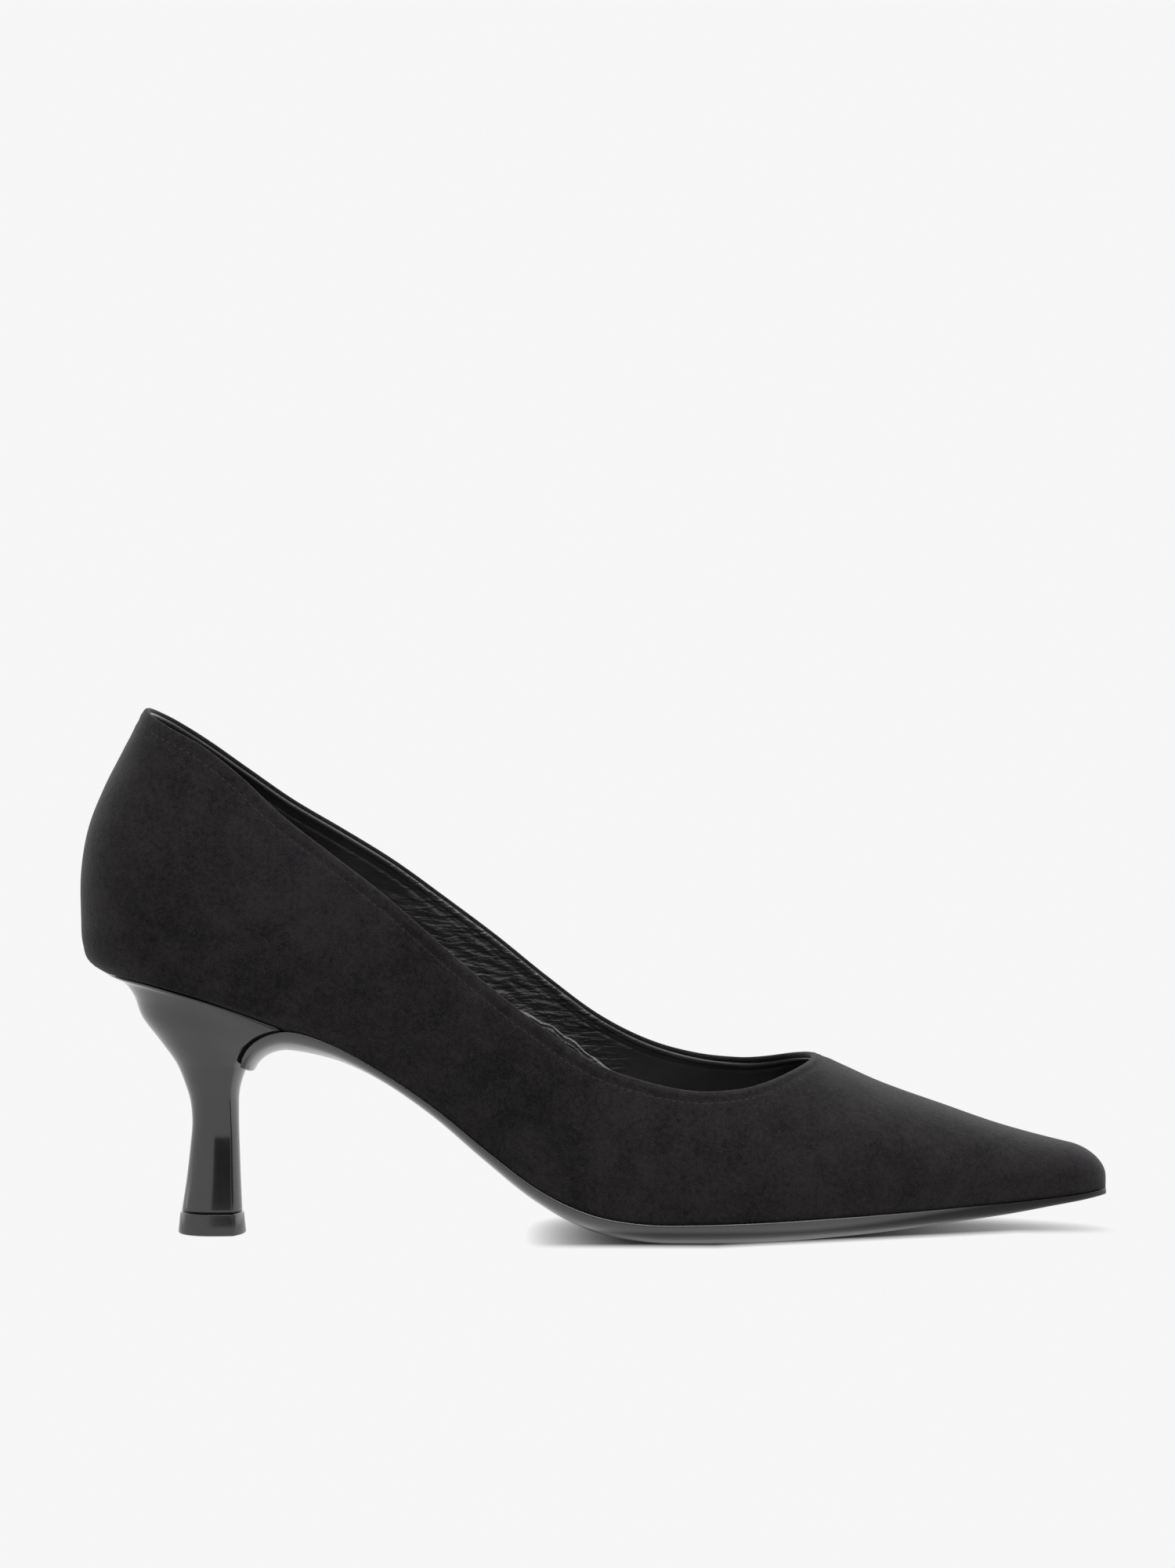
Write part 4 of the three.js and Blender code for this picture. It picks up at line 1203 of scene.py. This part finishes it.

# The painted contact shadow, in metres: how far it reaches, where it fades in behind the ball, and its
# front edge at the ball, which runs inward from one place to another toward the toe
CONTACT_REACH = 0.010
CONTACT_FROM = -0.075
CONTACT_TO = -0.045
CONTACT_FRONT = -0.022
CONTACT_SOFT = 0.004
CONTACT_TURN = 0.03
CONTACT_END = 0.105
CONTACT_INWARD = 0.026


def floor_finish():
    """An evenly glowing pale floor with a painted contact shadow: it darkens only under the forepart, where
    the sole nearly touches.
    """
    material = bpy.data.materials.new("pale_floor")
    material.use_nodes = True
    tree = material.node_tree
    tree.nodes.clear()
    near = tree.nodes.new("ShaderNodeAmbientOcclusion")
    near.inputs["Distance"].default_value = CONTACT_REACH
    near.samples = 24
    hidden = 1.0 - Value(tree, near.outputs["AO"])
    coordinates = tree.nodes.new("ShaderNodeTexCoord")
    axes = tree.nodes.new("ShaderNodeSeparateXYZ")
    tree.links.new(coordinates.outputs["Object"], axes.inputs[0])
    along = Value(tree, axes.outputs[0])
    painted_shade_ramp = (along - CONTACT_FROM) * (1 / (CONTACT_TO - CONTACT_FROM))
    toward_toe = ((along - CONTACT_TURN) * (1 / (CONTACT_END - CONTACT_TURN))).clamped()
    behind = Value(tree, axes.outputs[1]) - toward_toe * CONTACT_INWARD - CONTACT_FRONT
    within = (behind * (0.5 / CONTACT_SOFT) + 0.5).clamped()
    light = tree.nodes.new("ShaderNodeEmission")
    # Painted shadow: the glow less occlusion, kept to the forepart by position
    level = (1.0 - hidden * painted_shade_ramp.clamped() * within) * FLOOR_GREY
    tree.links.new(level.socket, light.inputs["Strength"])
    output = tree.nodes.new("ShaderNodeOutputMaterial")
    tree.links.new(light.outputs[0], output.inputs["Surface"])
    return material


def flat_panel(name, corners, material):
    mesh = bpy.data.meshes.new(name)
    mesh.from_pydata(corners, [], [(0, 1, 2, 3)])
    mesh.materials.append(material)
    panel = bpy.data.objects.new(name, mesh)
    bpy.context.scene.collection.objects.link(panel)
    return panel


def make_floor():
    far = 30.0
    corners = [(-far, -far, 0), (far, -far, 0), (far, far, 0), (-far, far, 0)]
    return flat_panel("floor", corners, floor_finish())


def glow(name, level):
    material = bpy.data.materials.new(name)
    material.use_nodes = True
    tree = material.node_tree
    tree.nodes.clear()
    light = tree.nodes.new("ShaderNodeEmission")
    light.inputs["Color"].default_value = (level, level, level, 1)
    output = tree.nodes.new("ShaderNodeOutputMaterial")
    tree.links.new(light.outputs[0], output.inputs["Surface"])
    return material


# Cards seen only in reflections: the plane that each stands in, its ends, its top and its light
DARK_CARD = {"y": -0.16, "from_x": -0.105, "to_x": 0.09, "top": 0.07, "level": 0.02}
BRIGHT_CARD = {"y": 0.9, "from_x": -4.0, "to_x": 4.0, "top": 2.5, "level": 2.0}
CARD_FOOT = 0.0005


def make_card(name, size):
    """An upright studio card that only reflections show."""
    y = size["y"]
    corners = [
        (size["from_x"], y, CARD_FOOT), (size["to_x"], y, CARD_FOOT),
        (size["to_x"], y, size["top"]), (size["from_x"], y, size["top"]),
    ]
    card = flat_panel(name, corners, glow(name, size["level"]))
    card.visible_camera = False
    card.visible_shadow = False
    card.visible_diffuse = False


def make_light():
    """An even bright room, with one large soft box above the shoe."""
    world = bpy.data.worlds.new("bright_room")
    world.use_nodes = True
    background = world.node_tree.nodes["Background"]
    background.inputs["Color"].default_value = (FLOOR_GREY, FLOOR_GREY, FLOOR_GREY, 1)
    bpy.context.scene.world = world
    box = bpy.data.lights.new("soft_box", "AREA")
    box.shape = "RECTANGLE"
    box.size = 0.9
    box.size_y = 0.7
    box.energy = 9.0
    lamp = bpy.data.objects.new("soft_box", box)
    lamp.location = (0.1, -0.15, 1.0)
    lamp.rotation_euler = (-0.15, 0.1, 0)
    bpy.context.scene.collection.objects.link(lamp)


def main():
    scene = bpy.context.scene
    scene.view_settings.view_transform = "Standard"
    make_camera()
    suede = suede_finish()
    leather = leather_finish("lining_leather", creased=True)
    thread = thread_finish()
    upper, sheet = make_upper(suede)
    lining, lining_sheet = make_lining(leather)
    make_stitches("outer_stitches", sheet, thread, STITCH_DEPTH + FOLD_THICKNESS / 2, -0.12, 0.0)
    make_sock(leather_finish("sock_leather", creased=False))
    make_outsole(sole_finish())
    make_heel(heel_finish())
    make_top_piece(top_piece_finish())
    make_floor()
    make_card("dark_card", DARK_CARD)
    make_card("bright_card", BRIGHT_CARD)
    make_light()


main()
